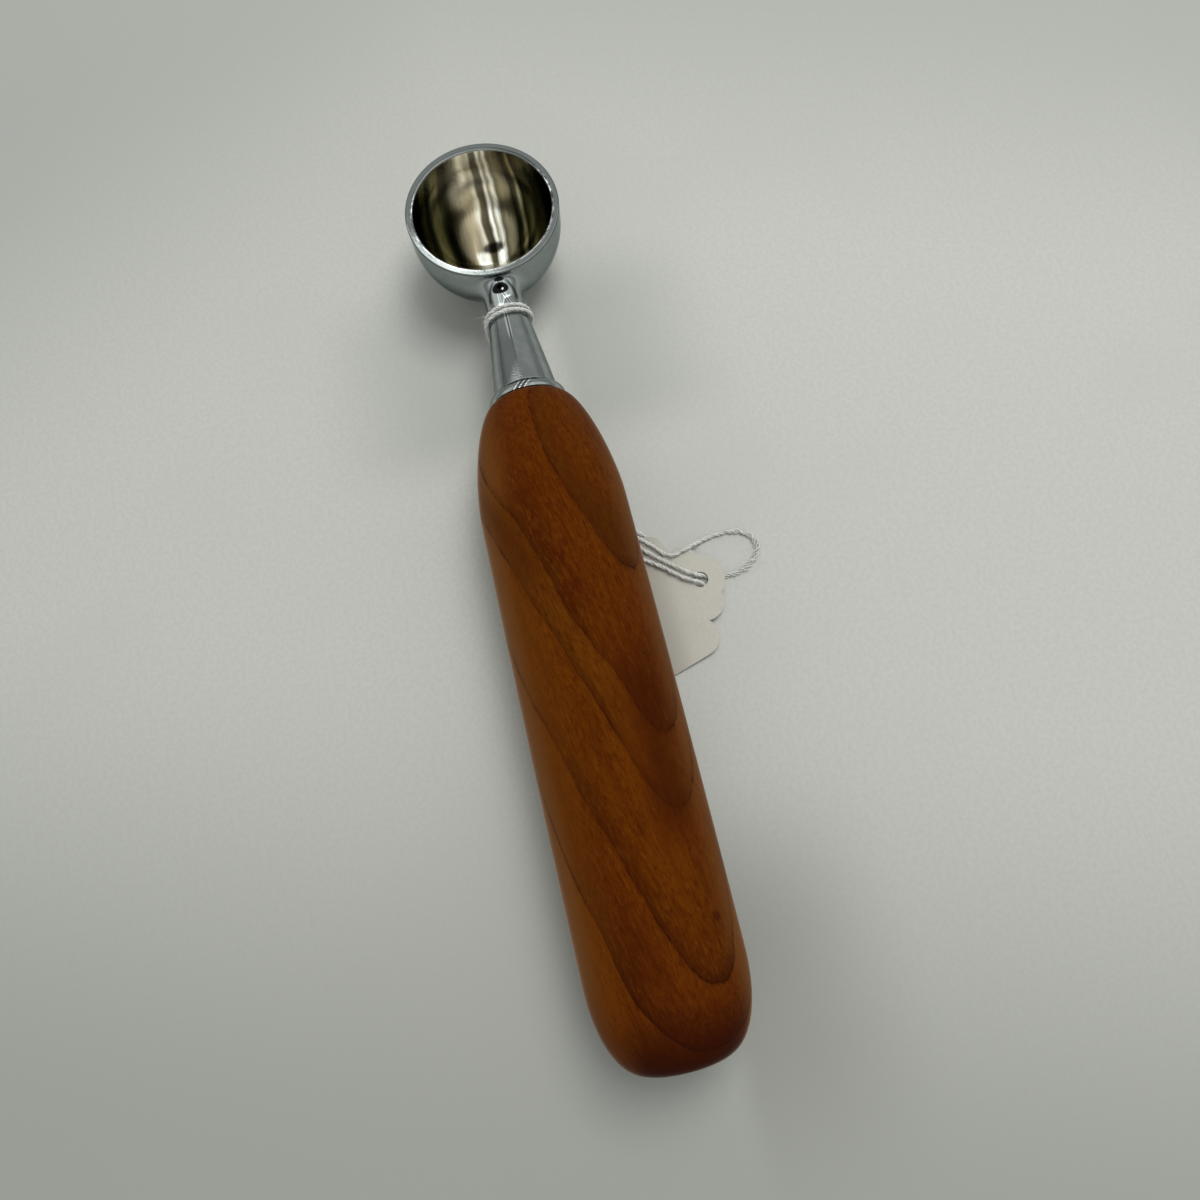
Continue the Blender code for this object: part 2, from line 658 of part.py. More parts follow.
def make_string(cotton):
    """Turns on the neck, the free stretch through the tag, and the knot that joins its ends."""
    turns = string_turn_points()
    tube("string_turns", turns, 1, cotton)
    print("string_turns least gap to itself, mm", round(least_gap_to_itself(turns) / MM, 2))

    knot_centre = turns[0] + Vector(KNOT_OFFSET)
    start = turns[-1] - Vector((0.0, 0.0, SEAT_GAP))
    finish = knot_centre - Vector((0.0, 0.0, KNOT_RADIUS + SEAT_GAP))
    straight = Vector((0.0, 0.0, STRING_DIAMETER))
    route = [Vector(place) * MM for place in STRING_ROUTE]
    lead = smooth_through([start, start - straight] + route + [finish - straight, finish], ROUTE_STEP)
    tube("string_lead", lead, 2, cotton)
    length = sum((second - first).length for first, second in zip(lead, lead[1:]))
    print("string_lead points", len(lead), "length mm", round(length / MM, 1))
    print("string_lead least gap to itself, mm", round(least_gap_to_itself(lead) / MM, 2))

    maker = bmesh.new()
    bmesh.ops.create_uvsphere(maker, u_segments=16, v_segments=10, radius=KNOT_RADIUS)
    bmesh.ops.translate(maker, verts=maker.verts, vec=knot_centre)
    finish_mesh("string_knot", maker, cotton, sharp_degrees=60)


def meeting_point(first, second):
    """Where two lobes of the tag's outline cross, on the side away from the tag's middle."""
    ax, ay, ar = first
    bx, by, br = second
    apart = math.hypot(bx - ax, by - ay)
    along = (apart ** 2 + ar ** 2 - br ** 2) / (2 * apart)
    off = math.sqrt(ar ** 2 - along ** 2)
    ux, uy = (bx - ax) / apart, (by - ay) / apart
    return ax + along * ux - off * uy, ay + along * uy + off * ux


def arc_points(lobe, start, end, steps):
    """Points on a lobe between two places, clockwise."""
    across, along, radius = lobe
    first = math.atan2(start[1] - along, start[0] - across)
    last = math.atan2(end[1] - along, end[0] - across)
    return [
        (across + radius * math.cos(first + (last - first) * step / steps),
         along + radius * math.sin(first + (last - first) * step / steps))
        for step in range(steps + 1)
    ]


def tag_outline():
    """Half of the outline from the tip of the scalloped end, then its mirror image."""
    tip = (0.0, CENTRE_LOBE[2])
    notch = meeting_point(CENTRE_LOBE, SIDE_LOBE)
    cusp = meeting_point(SIDE_LOBE, OUTER_LOBE)
    shoulder = (TAG_HALF_WIDTH, OUTER_LOBE[1])
    half = arc_points(CENTRE_LOBE, tip, notch, 6)
    half += arc_points(SIDE_LOBE, notch, cusp, 7)[1:]
    half += arc_points(OUTER_LOBE, cusp, shoulder, 8)[1:]
    corner = (TAG_HALF_WIDTH - TAG_CORNER, TAG_CORNER - TAG_BACK, TAG_CORNER)
    half += arc_points(corner, (TAG_HALF_WIDTH, corner[1]), (corner[0], -TAG_BACK), 4)
    mirrored = [(-across, along) for across, along in reversed(half[1:])]
    return half + mirrored


def tag_place(across, along, lift):
    """From the tag's own measures to the shared frame, on the tag's gentle slope."""
    point_x = math.cos(TAG_BEARING)
    point_y = math.sin(TAG_BEARING)
    x = TAG_HOLE_X + along * point_x + across * point_y
    y = TAG_HOLE_Y + along * point_y - across * point_x
    z = TAG_BACK_HEIGHT + TAG_SLOPE * (along + TAG_BACK) + lift
    return x, y, z


def make_tag(card):
    """Blank card tag with a scalloped end and a punched hole."""
    outline = [Vector(point) for point in tag_outline()]
    hole_sides = 20
    hole = [
        Vector((TAG_HOLE_RADIUS * math.cos(FULL_TURN * side / hole_sides),
                TAG_HOLE_RADIUS * math.sin(FULL_TURN * side / hole_sides)))
        for side in range(hole_sides)
    ]
    flat = outline + hole
    rim = len(outline)
    outer_edges = [(side, (side + 1) % rim) for side in range(rim)]
    hole_edges = [(rim + side, rim + (side + 1) % hole_sides) for side in range(hole_sides)]
    result = delaunay_2d_cdt(flat, outer_edges + hole_edges, [], 0, 1e-9)
    maker = bmesh.new()
    lower = [maker.verts.new(tag_place(point.x, point.y, 0.0)) for point in flat]
    upper = [maker.verts.new(tag_place(point.x, point.y, TAG_THICKNESS)) for point in flat]
    for triangle in result[2]:
        corners = [result[3][corner][0] for corner in triangle]
        centre = sum((flat[corner] for corner in corners), Vector((0.0, 0.0))) / 3
        if inside_outline(centre, outline) and not inside_outline(centre, hole):
            maker.faces.new([lower[corner] for corner in corners])
            maker.faces.new([upper[corner] for corner in reversed(corners)])
    for first, second in outer_edges + hole_edges:
        maker.faces.new((lower[first], lower[second], upper[second], upper[first]))
    return finish_mesh("swing_tag", maker, card)


def build():
    clear_scene()
    wood = make_material("cherry_wood", (0.24, 0.07, 0.02), 0.0, 0.4)
    chrome = make_material("chrome", (0.75, 0.76, 0.78), 1.0, 0.08)
    brass = make_material("brass", (0.70, 0.50, 0.18), 1.0, 0.3)
    steel = make_material("steel", (0.45, 0.46, 0.48), 1.0, 0.35)
    cotton = make_material("cotton_string", (0.80, 0.79, 0.74), 0.0, 0.9)
    card = make_material("white_card", (0.82, 0.81, 0.77), 0.0, 0.8)
    make_handle(wood)
    make_insert(brass)
    make_stud(steel)
    make_collar_ring(chrome)
    make_scoop_head(chrome)
    make_string(cotton)
    make_tag(card)


build()
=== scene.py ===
# %% [markdown]
# A coffee scoop: a plated bowl and neck on a turned cherry handle, with a string and a card tag.
#
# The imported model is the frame, and it fixes every size and place. This script dresses it: finer
# meshes where the plain solids are too coarse, a string of loose strands, and a material for each
# piece. The handle lies along X with the bowl at +X, and the table is at Z = 0.

# %% The frame, and the size of the plain model
import math
import random

import bpy
from mathutils import Matrix, Vector
from mathutils.geometry import delaunay_2d_cdt


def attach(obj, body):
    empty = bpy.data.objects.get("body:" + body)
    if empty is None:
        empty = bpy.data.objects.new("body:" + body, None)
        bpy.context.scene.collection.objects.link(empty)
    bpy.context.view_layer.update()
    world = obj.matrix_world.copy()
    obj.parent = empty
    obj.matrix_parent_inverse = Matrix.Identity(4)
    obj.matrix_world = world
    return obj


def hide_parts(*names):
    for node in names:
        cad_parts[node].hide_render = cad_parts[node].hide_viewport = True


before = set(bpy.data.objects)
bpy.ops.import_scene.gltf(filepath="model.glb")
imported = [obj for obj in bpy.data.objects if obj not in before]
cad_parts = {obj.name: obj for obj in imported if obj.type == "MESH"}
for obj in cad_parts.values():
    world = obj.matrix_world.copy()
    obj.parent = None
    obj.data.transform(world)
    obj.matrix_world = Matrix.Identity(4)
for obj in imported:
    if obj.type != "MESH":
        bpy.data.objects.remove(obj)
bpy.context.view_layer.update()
MM = 0.001
FULL_TURN = 2 * math.pi

# %% [markdown]
# The camera stands above the handle and a little behind it, tilted towards the bowl.
#
# A phone held by hand has a wide lens, so near parts look bigger than far ones. Its place came from
# the sizes of the bowl's rim and the handle in the picture. It could be turned with angles, but a
# place, a target and a direction that is upright in the picture are easier to read.

# %% Camera
CAMERA_PLACE = Vector((-65.44, 1.32, 220.54)) * MM
CAMERA_TARGET = Vector((-7.87, -6.09, 0.0)) * MM
PICTURE_UPWARD = Vector((0.9393, -0.2317, 0.2530))
LENS = 27.03
SENSOR_WIDTH = 36.0


def add_camera():
    forward = (CAMERA_TARGET - CAMERA_PLACE).normalized()
    right = forward.cross(PICTURE_UPWARD).normalized()
    upward = right.cross(forward)
    data = bpy.data.cameras.new("camera")
    data.lens = LENS
    data.sensor_width = SENSOR_WIDTH
    data.clip_start = 1 * MM
    camera = bpy.data.objects.new("camera", data)
    axes = Matrix((right, upward, -forward)).transposed()
    camera.matrix_world = Matrix.Translation(CAMERA_PLACE) @ axes.to_4x4()
    bpy.context.scene.collection.objects.link(camera)
    bpy.context.scene.camera = camera
    return camera


camera = add_camera()
bpy.context.scene.view_settings.view_transform = "Standard"
print("camera is", round(CAMERA_PLACE.z / MM), "mm above the table")

# %% [markdown]
# Shader maths is easier to follow as arithmetic than as a picture of boxes and wires.
#
# A Wire holds one output of a material's nodes. Adding, multiplying or comparing wires adds the Math
# nodes that do it, so that a mask reads like a formula. Any other node comes from the method node.


# %% Wires: shader maths written as arithmetic
def set_stops(ramp, stops):
    """Give a colour ramp its (place, colour) stops."""
    while len(ramp.elements) < len(stops):
        ramp.elements.new(1.0)
    for element, (place, colour) in zip(ramp.elements, stops):
        element.position = place
        element.color = colour


class Wire:
    """One output of a node tree, which takes part in arithmetic like a number."""

    def __init__(self, tree, socket=None):
        self.tree = tree
        self.socket = socket

    def feed(self, socket, value):
        if isinstance(value, Wire):
            self.tree.links.new(value.socket, socket)
        else:
            socket.default_value = value

    def node(self, kind, settings=None, sockets=None, output=0):
        """Add a node: its settings first, then the values or links of its sockets."""
        made = self.tree.nodes.new(kind)
        for name, value in (settings or {}).items():
            if name == "stops":
                set_stops(made.color_ramp, value)
            else:
                setattr(made, name, value)
        for name, value in (sockets or {}).items():
            self.feed(made.inputs[name], value)
        return Wire(self.tree, made.outputs[output])

    def math(self, operation, *values):
        return self.node("ShaderNodeMath", {"operation": operation}, dict(enumerate(values)))

    def __add__(self, other):
        return self.math("ADD", self, other)

    def __sub__(self, other):
        return self.math("SUBTRACT", self, other)

    def __mul__(self, other):
        return self.math("MULTIPLY", self, other)

    def __truediv__(self, other):
        return self.math("DIVIDE", self, other)

    def __radd__(self, other):
        return self.math("ADD", other, self)

    def __rsub__(self, other):
        return self.math("SUBTRACT", other, self)

    def __rmul__(self, other):
        return self.math("MULTIPLY", other, self)

    def __abs__(self):
        return self.math("ABSOLUTE", self)

    def at_least(self, lowest):
        return self.math("MAXIMUM", self, lowest)

    def at_most(self, highest):
        return self.math("MINIMUM", self, highest)

    def step(self, low, high):
        """0 below low and 1 above high, smooth between. A low above the high turns it round."""
        return self.node(
            "ShaderNodeMapRange",
            {"interpolation_type": "SMOOTHSTEP"},
            {"Value": self, "From Min": low, "From Max": high},
        )

    def band(self, middle, half_width):
        """1 in the middle of a band and 0 outside it."""
        return abs(self - middle).step(half_width, 0.0)


print("wires ready")

# %% [markdown]
# Every finish here starts the same way: a Principled shader, and the place of a point on its object.
#
# Noise, a mix of two colours, a ramp and a bump are used all the time, so each gets a short name. All
# places are in millimetres, so that the size of a mark can be read from its numbers.


# %% Starting a finish, and the nodes that every finish uses
def new_finish(name):
    """A material, its Principled shader, and a Wire to start its other nodes from."""
    material = bpy.data.materials.new(name)
    material.use_nodes = True
    tree = material.node_tree
    return material, tree.nodes["Principled BSDF"], Wire(tree)


def shade(start, shader, **sockets):
    """Feed the shader's sockets; Base_Color means Base Color."""
    for name, value in sockets.items():
        start.feed(shader.inputs[name.replace("_", " ")], value)


def stretched(place, factors):
    """A place stretched along each axis by the factors."""
    return place.node("ShaderNodeVectorMath", {"operation": "MULTIPLY"}, {0: place, 1: factors})


def object_place(start):
    """Where a point lies on its own object, in millimetres."""
    place = start.node("ShaderNodeTexCoord", output=3)
    return stretched(place, (1 / MM, 1 / MM, 1 / MM))


def split(place):
    """The three parts of a place as wires."""
    parts = place.node("ShaderNodeSeparateXYZ", None, {0: place})
    node = parts.socket.node
    return [Wire(place.tree, node.outputs[axis]) for axis in range(3)]


def joined(x, y, z):
    """A place from its three parts, of which the first is a wire."""
    return x.node("ShaderNodeCombineXYZ", None, {0: x, 1: y, 2: z})


def noise(place, waves, detail=2.0, roughness=0.5):
    """Smooth noise from about 0.2 to 0.8, with so many waves per millimetre, or along each axis."""
    if isinstance(waves, tuple):
        place = stretched(place, waves)
        waves = 1.0
    sockets = {"Vector": place, "Scale": waves, "Detail": detail, "Roughness": roughness}
    return place.node("ShaderNodeTexNoise", None, sockets)


def mixed(first, second, share):
    """The first colour where the share is 0, going over to the second where it is 1."""
    return share.node("ShaderNodeMix", {"data_type": "RGBA"}, {0: share, 6: first, 7: second}, output=2)


def ramp(value, stops):
    """The colours of the stops along a value from 0 to 1."""
    return value.node("ShaderNodeValToRGB", {"stops": stops}, {0: value})


def bump(height, distance, strength):
    sockets = {"Height": height, "Distance": distance, "Strength": strength}
    return height.node("ShaderNodeBump", None, sockets)


print("finish helpers ready; one metre is", round(1 / MM), "of their millimetres")

# %% [markdown]
# The handle and the neck keep the sizes of the frame's own solids.
#
# They are written here once more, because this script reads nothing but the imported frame, and finer
# meshes of the same shapes need them. Everything on the handle's axis is placed by how far it is from
# the handle's front face.

# %% Sizes of the handle and the neck
HANDLE_LENGTH = 152.0 * MM
HANDLE_RADIUS = 17.8 * MM
RIM_CENTRE_FROM_FACE = 53.0 * MM
BOWL_RADIUS = 19.65 * MM
TOTAL_LENGTH = HANDLE_LENGTH + RIM_CENTRE_FROM_FACE + BOWL_RADIUS
FACE_X = HANDLE_LENGTH - TOTAL_LENGTH / 2
AXIS_Z = HANDLE_RADIUS
NECK_START = 3.4 * MM
NECK_TAPER_END = 26.0 * MM
NECK_WIDE_RADIUS = 7.95 * MM
NECK_NARROW_RADIUS = 4.95 * MM
NECK_TAPER_POWER = 1.1
SEAT_GAP = 0.3 * MM


def axis_point(x, radius, angle):
    """A place at this radius and angle round the handle's axis."""
    return Vector((x, radius * math.cos(angle), AXIS_Z + radius * math.sin(angle)))


def neck_radius(from_face):
    """The neck's taper between its wide end and the narrow place by the bowl."""
    share = min(1.0, max(0.0, from_face - NECK_START) / (NECK_TAPER_END - NECK_START))
    return NECK_WIDE_RADIUS - (NECK_WIDE_RADIUS - NECK_NARROW_RADIUS) * share ** NECK_TAPER_POWER


print("the handle's face is at x =", round(FACE_X / MM, 2), "mm")

# %% [markdown]
# The string is undyed cotton, four loose strands wound round each other like a thin soft rope.
#
# Two turns hold it on the neck. It then runs under the handle, through the tag's hole, round a loop,
# and back to a knot under the neck. It could be laid by a simulation, but a route of points that a
# smooth curve runs through lies where the frame's string does, on the table, the tag and the neck.

# %% Route of the string
STRING_DIAMETER = 1.0 * MM
TURN_PITCH = 1.45 * MM
TURN_COUNT = 1.75
TURNS_FROM_FACE = 26.1 * MM
KNOT_RADIUS = 1.4 * MM
KNOT_OFFSET = Vector((0.9, 1.45, -0.4)) * MM
ROUTE_STEP = 1.0 * MM
ROUTE_TURN = 0.2  # radians between two points of a bend

# From the neck under the handle, through the tag's hole, round the loop and back, in millimetres
STRING_ROUTE = [
    (63.0, 6.0, 12.6), (62.0, 5.0, 9.6), (59.8, 3.6, 6.6), (56.6, 1.9, 3.9), (52.6, 0.2, 1.9),
    (47.0, -1.6, 0.75), (36.0, -4.2, 0.6), (24.0, -6.4, 0.6), (12.0, -9.2, 0.8), (5.5, -13.0, 1.8),
    (-1.0, -19.6, 2.3), (-4.0, -23.4, 2.5), (-6.9, -26.6, 2.7), (-8.9, -29.2, 2.85),
    (-9.6, -30.9, 2.25), (-10.3, -32.2, 1.05), (-12.0, -33.0, 0.62), (-13.9, -31.9, 0.6),
    (-13.4, -30.0, 0.6), (-10.8, -28.7, 0.58), (-6.0, -27.2, 0.58), (-1.2, -25.8, 0.56),
    (2.9, -23.8, 0.56), (8.2, -18.9, 0.56), (11.2, -17.9, 0.56), (13.6, -16.9, 0.58),
    (13.7, -14.6, 0.65), (11.4, -14.0, 0.9), (9.0, -15.6, 1.4), (6.2, -18.2, 2.1), (2.1, -22.2, 2.35),
    (-0.5, -24.5, 2.5), (-1.5, -26.4, 2.65), (-1.1, -28.8, 2.75), (-0.4, -31.2, 2.65), (0.8, -34.4, 1.1),
    (1.7, -38.4, 0.6), (1.7, -42.8, 0.6), (-0.4, -47.0, 0.6), (-4.3, -48.2, 0.6), (-7.8, -45.4, 0.6),
    (-9.3, -41.2, 0.6), (-9.4, -37.0, 0.6), (-8.9, -34.4, 0.62), (-8.3, -33.0, 1.05),
    (-7.95, -31.6, 2.1), (-7.2, -29.8, 2.9), (-4.4, -26.4, 2.65), (-1.5, -23.0, 2.45), (1.9, -19.6, 2.3),
    (6.6, -14.6, 1.9), (12.0, -11.2, 0.85), (22.0, -8.8, 0.6), (36.0, -6.6, 0.6), (47.5, -4.2, 0.8),
    (54.0, -2.2, 2.0), (59.3, -0.4, 3.8), (63.4, 1.0, 6.2), (65.8, 1.7, 8.0),
]


def turn_place(turns):
    """Centre of the string on the neck, this many turns from the knot, starting underneath."""
    from_face = TURNS_FROM_FACE - TURN_PITCH * turns
    radius = neck_radius(from_face) + SEAT_GAP + STRING_DIAMETER / 2
    return axis_point(FACE_X + from_face, radius, -math.pi / 2 - FULL_TURN * turns)


def smooth_through(knots, longest):
    """Points of a smooth curve through the given ones."""
    padded = [2 * knots[0] - knots[1]] + knots + [2 * knots[-1] - knots[-2]]
    points = [knots[0]]
    for before, start, end, after in zip(padded, padded[1:], padded[2:], padded[3:]):
        length = (end - start).length
        leave = (end - before).normalized() * length
        arrive = (after - start).normalized() * length
        turn = leave.angle(arrive)
        pieces = max(1, math.ceil(length / longest), math.ceil(turn / ROUTE_TURN))
        for piece in range(1, pieces + 1):
            share = piece / pieces
            points.append(
                start * (2 * share ** 3 - 3 * share ** 2 + 1)
                + leave * (share ** 3 - 2 * share ** 2 + share)
                + end * (3 * share ** 2 - 2 * share ** 3)
                + arrive * (share ** 3 - share ** 2)
            )
    return points


def lead_points():
    """The string's free stretch, from the turns to the knot."""
    first_turn = turn_place(0.0)
    knot_centre = first_turn + KNOT_OFFSET
    start = turn_place(TURN_COUNT) - Vector((0.0, 0.0, STRING_DIAMETER + SEAT_GAP))
    finish = knot_centre - Vector((0.0, 0.0, KNOT_RADIUS + SEAT_GAP))
    straight = Vector((0.0, 0.0, STRING_DIAMETER))
    route = [Vector(place) * MM for place in STRING_ROUTE]
    knots = [start, start - straight] + route + [finish - straight, finish]
    return smooth_through(knots, ROUTE_STEP), knot_centre


def path_length(points):
    return sum((second - first).length for first, second in zip(points, points[1:]))


lead, knot_centre = lead_points()
print("free string", round(path_length(lead) / MM, 1), "mm long")

# %% [markdown]
# A strand is a round tube swept along a path, and a sweep needs directions that don't spin.
#
# The side direction is carried from point to point and made square to the path again each time. A
# curve's bevel would do this too, but here each strand has to get thicker and thinner on its way.

# %% Sweeping tubes along paths
ROUNDING = 1e-9


def resample(points, step):
    """Points an even step apart along a path."""
    total = path_length(points)
    count = max(2, round(total / step))
    spots = [points[0]]
    along = 0.0
    wanted = total / count
    for first, second in zip(points, points[1:]):
        length = (second - first).length
        while length > 0 and along + length >= wanted - ROUNDING and len(spots) < count:
            spots.append(first.lerp(second, (wanted - along) / length))
            wanted += total / count
        along += length
    spots.append(points[-1])
    return spots


def carried_sides(points):
    """For each point: the way along, and two directions square to it that don't spin."""
    result = []
    side = None
    for index in range(len(points)):
        before = points[max(0, index - 1)]
        after = points[min(len(points) - 1, index + 1)]
        along = (after - before).normalized()
        if side is None:
            side = along.orthogonal().normalized()
        side = (side - along * side.dot(along)).normalized()
        result.append((along, side, along.cross(side)))
    return result


def tube_mesh(paths, sides):
    """Points and faces of round tubes along paths of (place, radius), with closed ends."""
    points = []
    faces = []
    for path in paths:
        directions = carried_sides([place for place, radius in path])
        first_ring = len(points)
        for (place, radius), (along, side, upward) in zip(path, directions):
            for corner in range(sides):
                angle = FULL_TURN * corner / sides
                points.append(place + (side * math.cos(angle) + upward * math.sin(angle)) * radius)
        for ring in range(len(path) - 1):
            start = first_ring + ring * sides
            for corner in range(sides):
                following = (corner + 1) % sides
                faces.append((start + corner, start + following,
                              start + sides + following, start + sides + corner))
        faces.append(tuple(reversed(range(first_ring, first_ring + sides))))
        last_ring = first_ring + (len(path) - 1) * sides
        faces.append(tuple(range(last_ring, last_ring + sides)))
    return points, faces


def add_mesh(name, points, faces, material, body, sharp_degrees=60):
    """A named piece that rides on a body of the frame."""
    mesh = bpy.data.meshes.new(name)
    mesh.from_pydata(points, [], faces)
    mesh.update()
    mesh.shade_smooth()
    mesh.set_sharp_from_angle(angle=math.radians(sharp_degrees))
    mesh.materials.append(material)
    piece = bpy.data.objects.new(name, mesh)
    bpy.context.scene.collection.objects.link(piece)
    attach(piece, body)
    return piece


print("the free string's route has", len(carried_sides(lead)), "points")

# %% [markdown]
# Yarn is never even: each strand has slubs, where it is thicker, and strays from its helix.
#
# The end of the loop has been handled, so its strands are thin there and stand apart. Waves of unlike
# lengths give all this with no random draw, so that the string comes out the same each time.

# %% Strands
STRAND_COUNT = 4
STRAND_RADIUS = 0.20 * MM
STRAND_OFFSET = 0.25 * MM
STRAND_PITCH = 4.6 * MM
STRAND_SIDES = 7
STRAND_STEP = 0.3 * MM
SLUB_LENGTH = 1.7 * MM
SLUB_SWELL = 0.16
SLUB_PHASE = 2.3
SMALL_SLUB_SHARE = 0.6
SMALL_SLUB_RATE = 2.7
STRAY_LENGTH = 1.1 * MM
STRAY_SHARE = 0.35
STRAY_PHASE = 1.7
FRAY_CENTRE = Vector((-5.5, -45.5, 0.6)) * MM
FRAY_REACH = 7.5 * MM
FRAY_SPREAD = 1.2
FRAY_THINNING = 0.35


def frayed(place):
    """1 at the worn end of the loop, falling to 0 a few millimetres away."""
    return math.exp(-((place - FRAY_CENTRE).length / FRAY_REACH) ** 2)


def strand_spot(place, outward, along, phase):
    """Where one strand is beside a point of the middle line, and its radius there."""
    slub = math.sin(along / SLUB_LENGTH + SLUB_PHASE * phase)
    slub += SMALL_SLUB_SHARE * math.sin(along / SLUB_LENGTH * SMALL_SLUB_RATE + phase)
    stray = math.sin(along / STRAY_LENGTH + STRAY_PHASE * phase)
    worn = frayed(place)
    spread = 1 + STRAY_SHARE * stray + (FRAY_SPREAD + stray) * worn
    radius = STRAND_RADIUS * (1 + SLUB_SWELL * slub) * (1 - FRAY_THINNING * worn)
    spot = place + outward * STRAND_OFFSET * spread
    spot.z = max(spot.z, radius)
    return spot, radius


def strand_paths(points):
    """Strands wound loosely round a middle line, as paths of (place, radius)."""
    middle = resample(points, STRAND_STEP)
    directions = carried_sides(middle)
    paths = []
    for strand in range(STRAND_COUNT):
        path = []
        along = 0.0
        phase = FULL_TURN * strand / STRAND_COUNT
        for index, (place, (forward, side, upward)) in enumerate(zip(middle, directions)):
            if index:
                along += (place - middle[index - 1]).length
            angle = FULL_TURN * along / STRAND_PITCH + phase
            outward = side * math.cos(angle) + upward * math.sin(angle)
            path.append(strand_spot(place, outward, along, phase))
        paths.append(path)
    return paths


print("strands", STRAND_COUNT, "with", len(resample(lead, STRAND_STEP)), "rings each on the free string")

# %% [markdown]
# Loose fibres stand out of spun cotton all over, and they give the string its soft outline.
#
# A hair system could grow them, but a thousand or so thin tubes with three sides are real mesh, and
# they go into every export. A random generator with a fixed seed draws where each one starts and leans.

# %% Loose fibres
FIBRE_RADIUS = 0.030 * MM
FIBRE_STEPS = 4
FIBRE_LENGTH = 2.6 * MM
FIBRE_SHORTEST = 0.35
FIBRE_STANDS = (0.15, 1.0)
FIBRE_LEAN = 1.3
FIBRE_CURL = 0.45
FIBRE_TAPER = 0.6
FIBRE_ROOT = 1.5
TABLE_CLEARANCE = 0.05 * MM
END_MARGIN = 4  # points of the middle line without fibres at each end


def fibre_paths(points, count, seed):
    """Loose fibres that lean along the string or stand out of it, thin and slightly curled."""
    chance = random.Random(seed)
    middle = resample(points, STRAND_STEP)
    directions = carried_sides(middle)
    paths = []
    for _ in range(count):
        index = chance.randrange(END_MARGIN, len(middle) - END_MARGIN)
        along, side, upward = directions[index]
        angle = chance.uniform(0, FULL_TURN)
        outward = side * math.cos(angle) + upward * math.sin(angle)
        way = outward * chance.uniform(*FIBRE_STANDS) + along * chance.uniform(-FIBRE_LEAN, FIBRE_LEAN)
        way.normalize()
        curl = Vector((chance.uniform(-1, 1), chance.uniform(-1, 1), chance.uniform(-1, 1)))
        length = chance.uniform(FIBRE_SHORTEST, 1.0) ** 2 * FIBRE_LENGTH * (1 + frayed(middle[index]))
        root_place = middle[index] + outward * STRAND_OFFSET * FIBRE_ROOT
        path = []
        for step in range(FIBRE_STEPS + 1):
            share = step / FIBRE_STEPS
            spot = root_place + way * length * share + curl * length * FIBRE_CURL * share * share
            spot.z = max(spot.z, TABLE_CLEARANCE)
            path.append((spot, FIBRE_RADIUS * (1 - FIBRE_TAPER * share)))
        paths.append(path)
    return paths


print("longest fibre", FIBRE_LENGTH / MM, "mm, twice that at the worn end of the loop")

# %% [markdown]
# Undyed cotton is warm white, duller where it has picked up dirt, and quite matt.
#
# Light scatters between its fibres, so a rough surface with a little sheen does for it. The fluff is
# noise, as pale tufts in the colour and as a fine bump.


# %% Cotton
COTTON_HOLLOW = (0.53, 0.545, 0.505, 1)
COTTON_TUFT = (0.70, 0.71, 0.675, 1)
COTTON_SOIL = (0.44, 0.43, 0.38, 1)


def cotton_finish():
    material, shader, start = new_finish("cotton_yarn")
    place = object_place(start)
    fluff = noise(place, 2.4, detail=4.0, roughness=0.65)
    soil = noise(place, 0.22, detail=3.0)
    fine = noise(place, 9.0, detail=3.0, roughness=0.7)
    colour = mixed(COTTON_HOLLOW, COTTON_TUFT, fluff.step(0.3, 0.65))
    colour = mixed(colour, COTTON_SOIL, soil.step(0.56, 0.8) * 0.5)
    shade(
        start, shader, Base_Color=colour, Roughness=0.82 + fluff * 0.15,
        Normal=bump(fine, 0.08 * MM, 0.6), Sheen_Weight=0.35, Sheen_Roughness=0.5,
    )
    return material


cotton = cotton_finish()
print("cotton has", len(cotton.node_tree.nodes), "nodes")

# %% [markdown]
# One string makes three pieces here: the turns on the neck, the free stretch and the knot.
#
# The knot is one overhand knot pulled tight, which looks like a trefoil from every side. All three are
# the same strands along other middle lines, and each takes the place of the frame's plain solid. The
# fibres ride with them.

# %% The string's pieces
KNOT_STEPS = 90
KNOT_SIZE = 0.42 * MM
KNOT_WIDTH = 1.3
STEPS_PER_TURN = 48
FIBRE_SIDES = 3
LEAD_FIBRES = 1300
LEAD_FIBRE_SEED = 11
NECK_FIBRES = 160
NECK_FIBRE_SEED = 12


def knot_points(centre):
    """A trefoil, which is what one overhand knot pulls up to."""
    points = []
    for step in range(KNOT_STEPS + 1):
        angle = FULL_TURN * step / KNOT_STEPS
        points.append(centre + KNOT_SIZE * Vector((
            math.sin(3 * angle) * KNOT_WIDTH,
            math.sin(angle) + 2 * math.sin(2 * angle),
            math.cos(angle) - 2 * math.cos(2 * angle),
        )))
    return points


def turn_points():
    """The two turns round the neck, with a short lead in and out."""
    steps = round(TURN_COUNT * STEPS_PER_TURN)
    turns = [turn_place(TURN_COUNT * step / steps) for step in range(steps + 1)]
    lead_in = turns[0] + Vector((0.0, STRING_DIAMETER, 0.0))
    lead_out = turns[-1] - Vector((0.0, 0.0, STRING_DIAMETER + SEAT_GAP))
    return [lead_in] + turns + [lead_out]


def add_string_piece(name, middle_line, node_name):
    points, faces = tube_mesh(strand_paths(middle_line), STRAND_SIDES)
    piece = add_mesh(name, points, faces, cotton, "collar")
    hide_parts(node_name)
    return piece


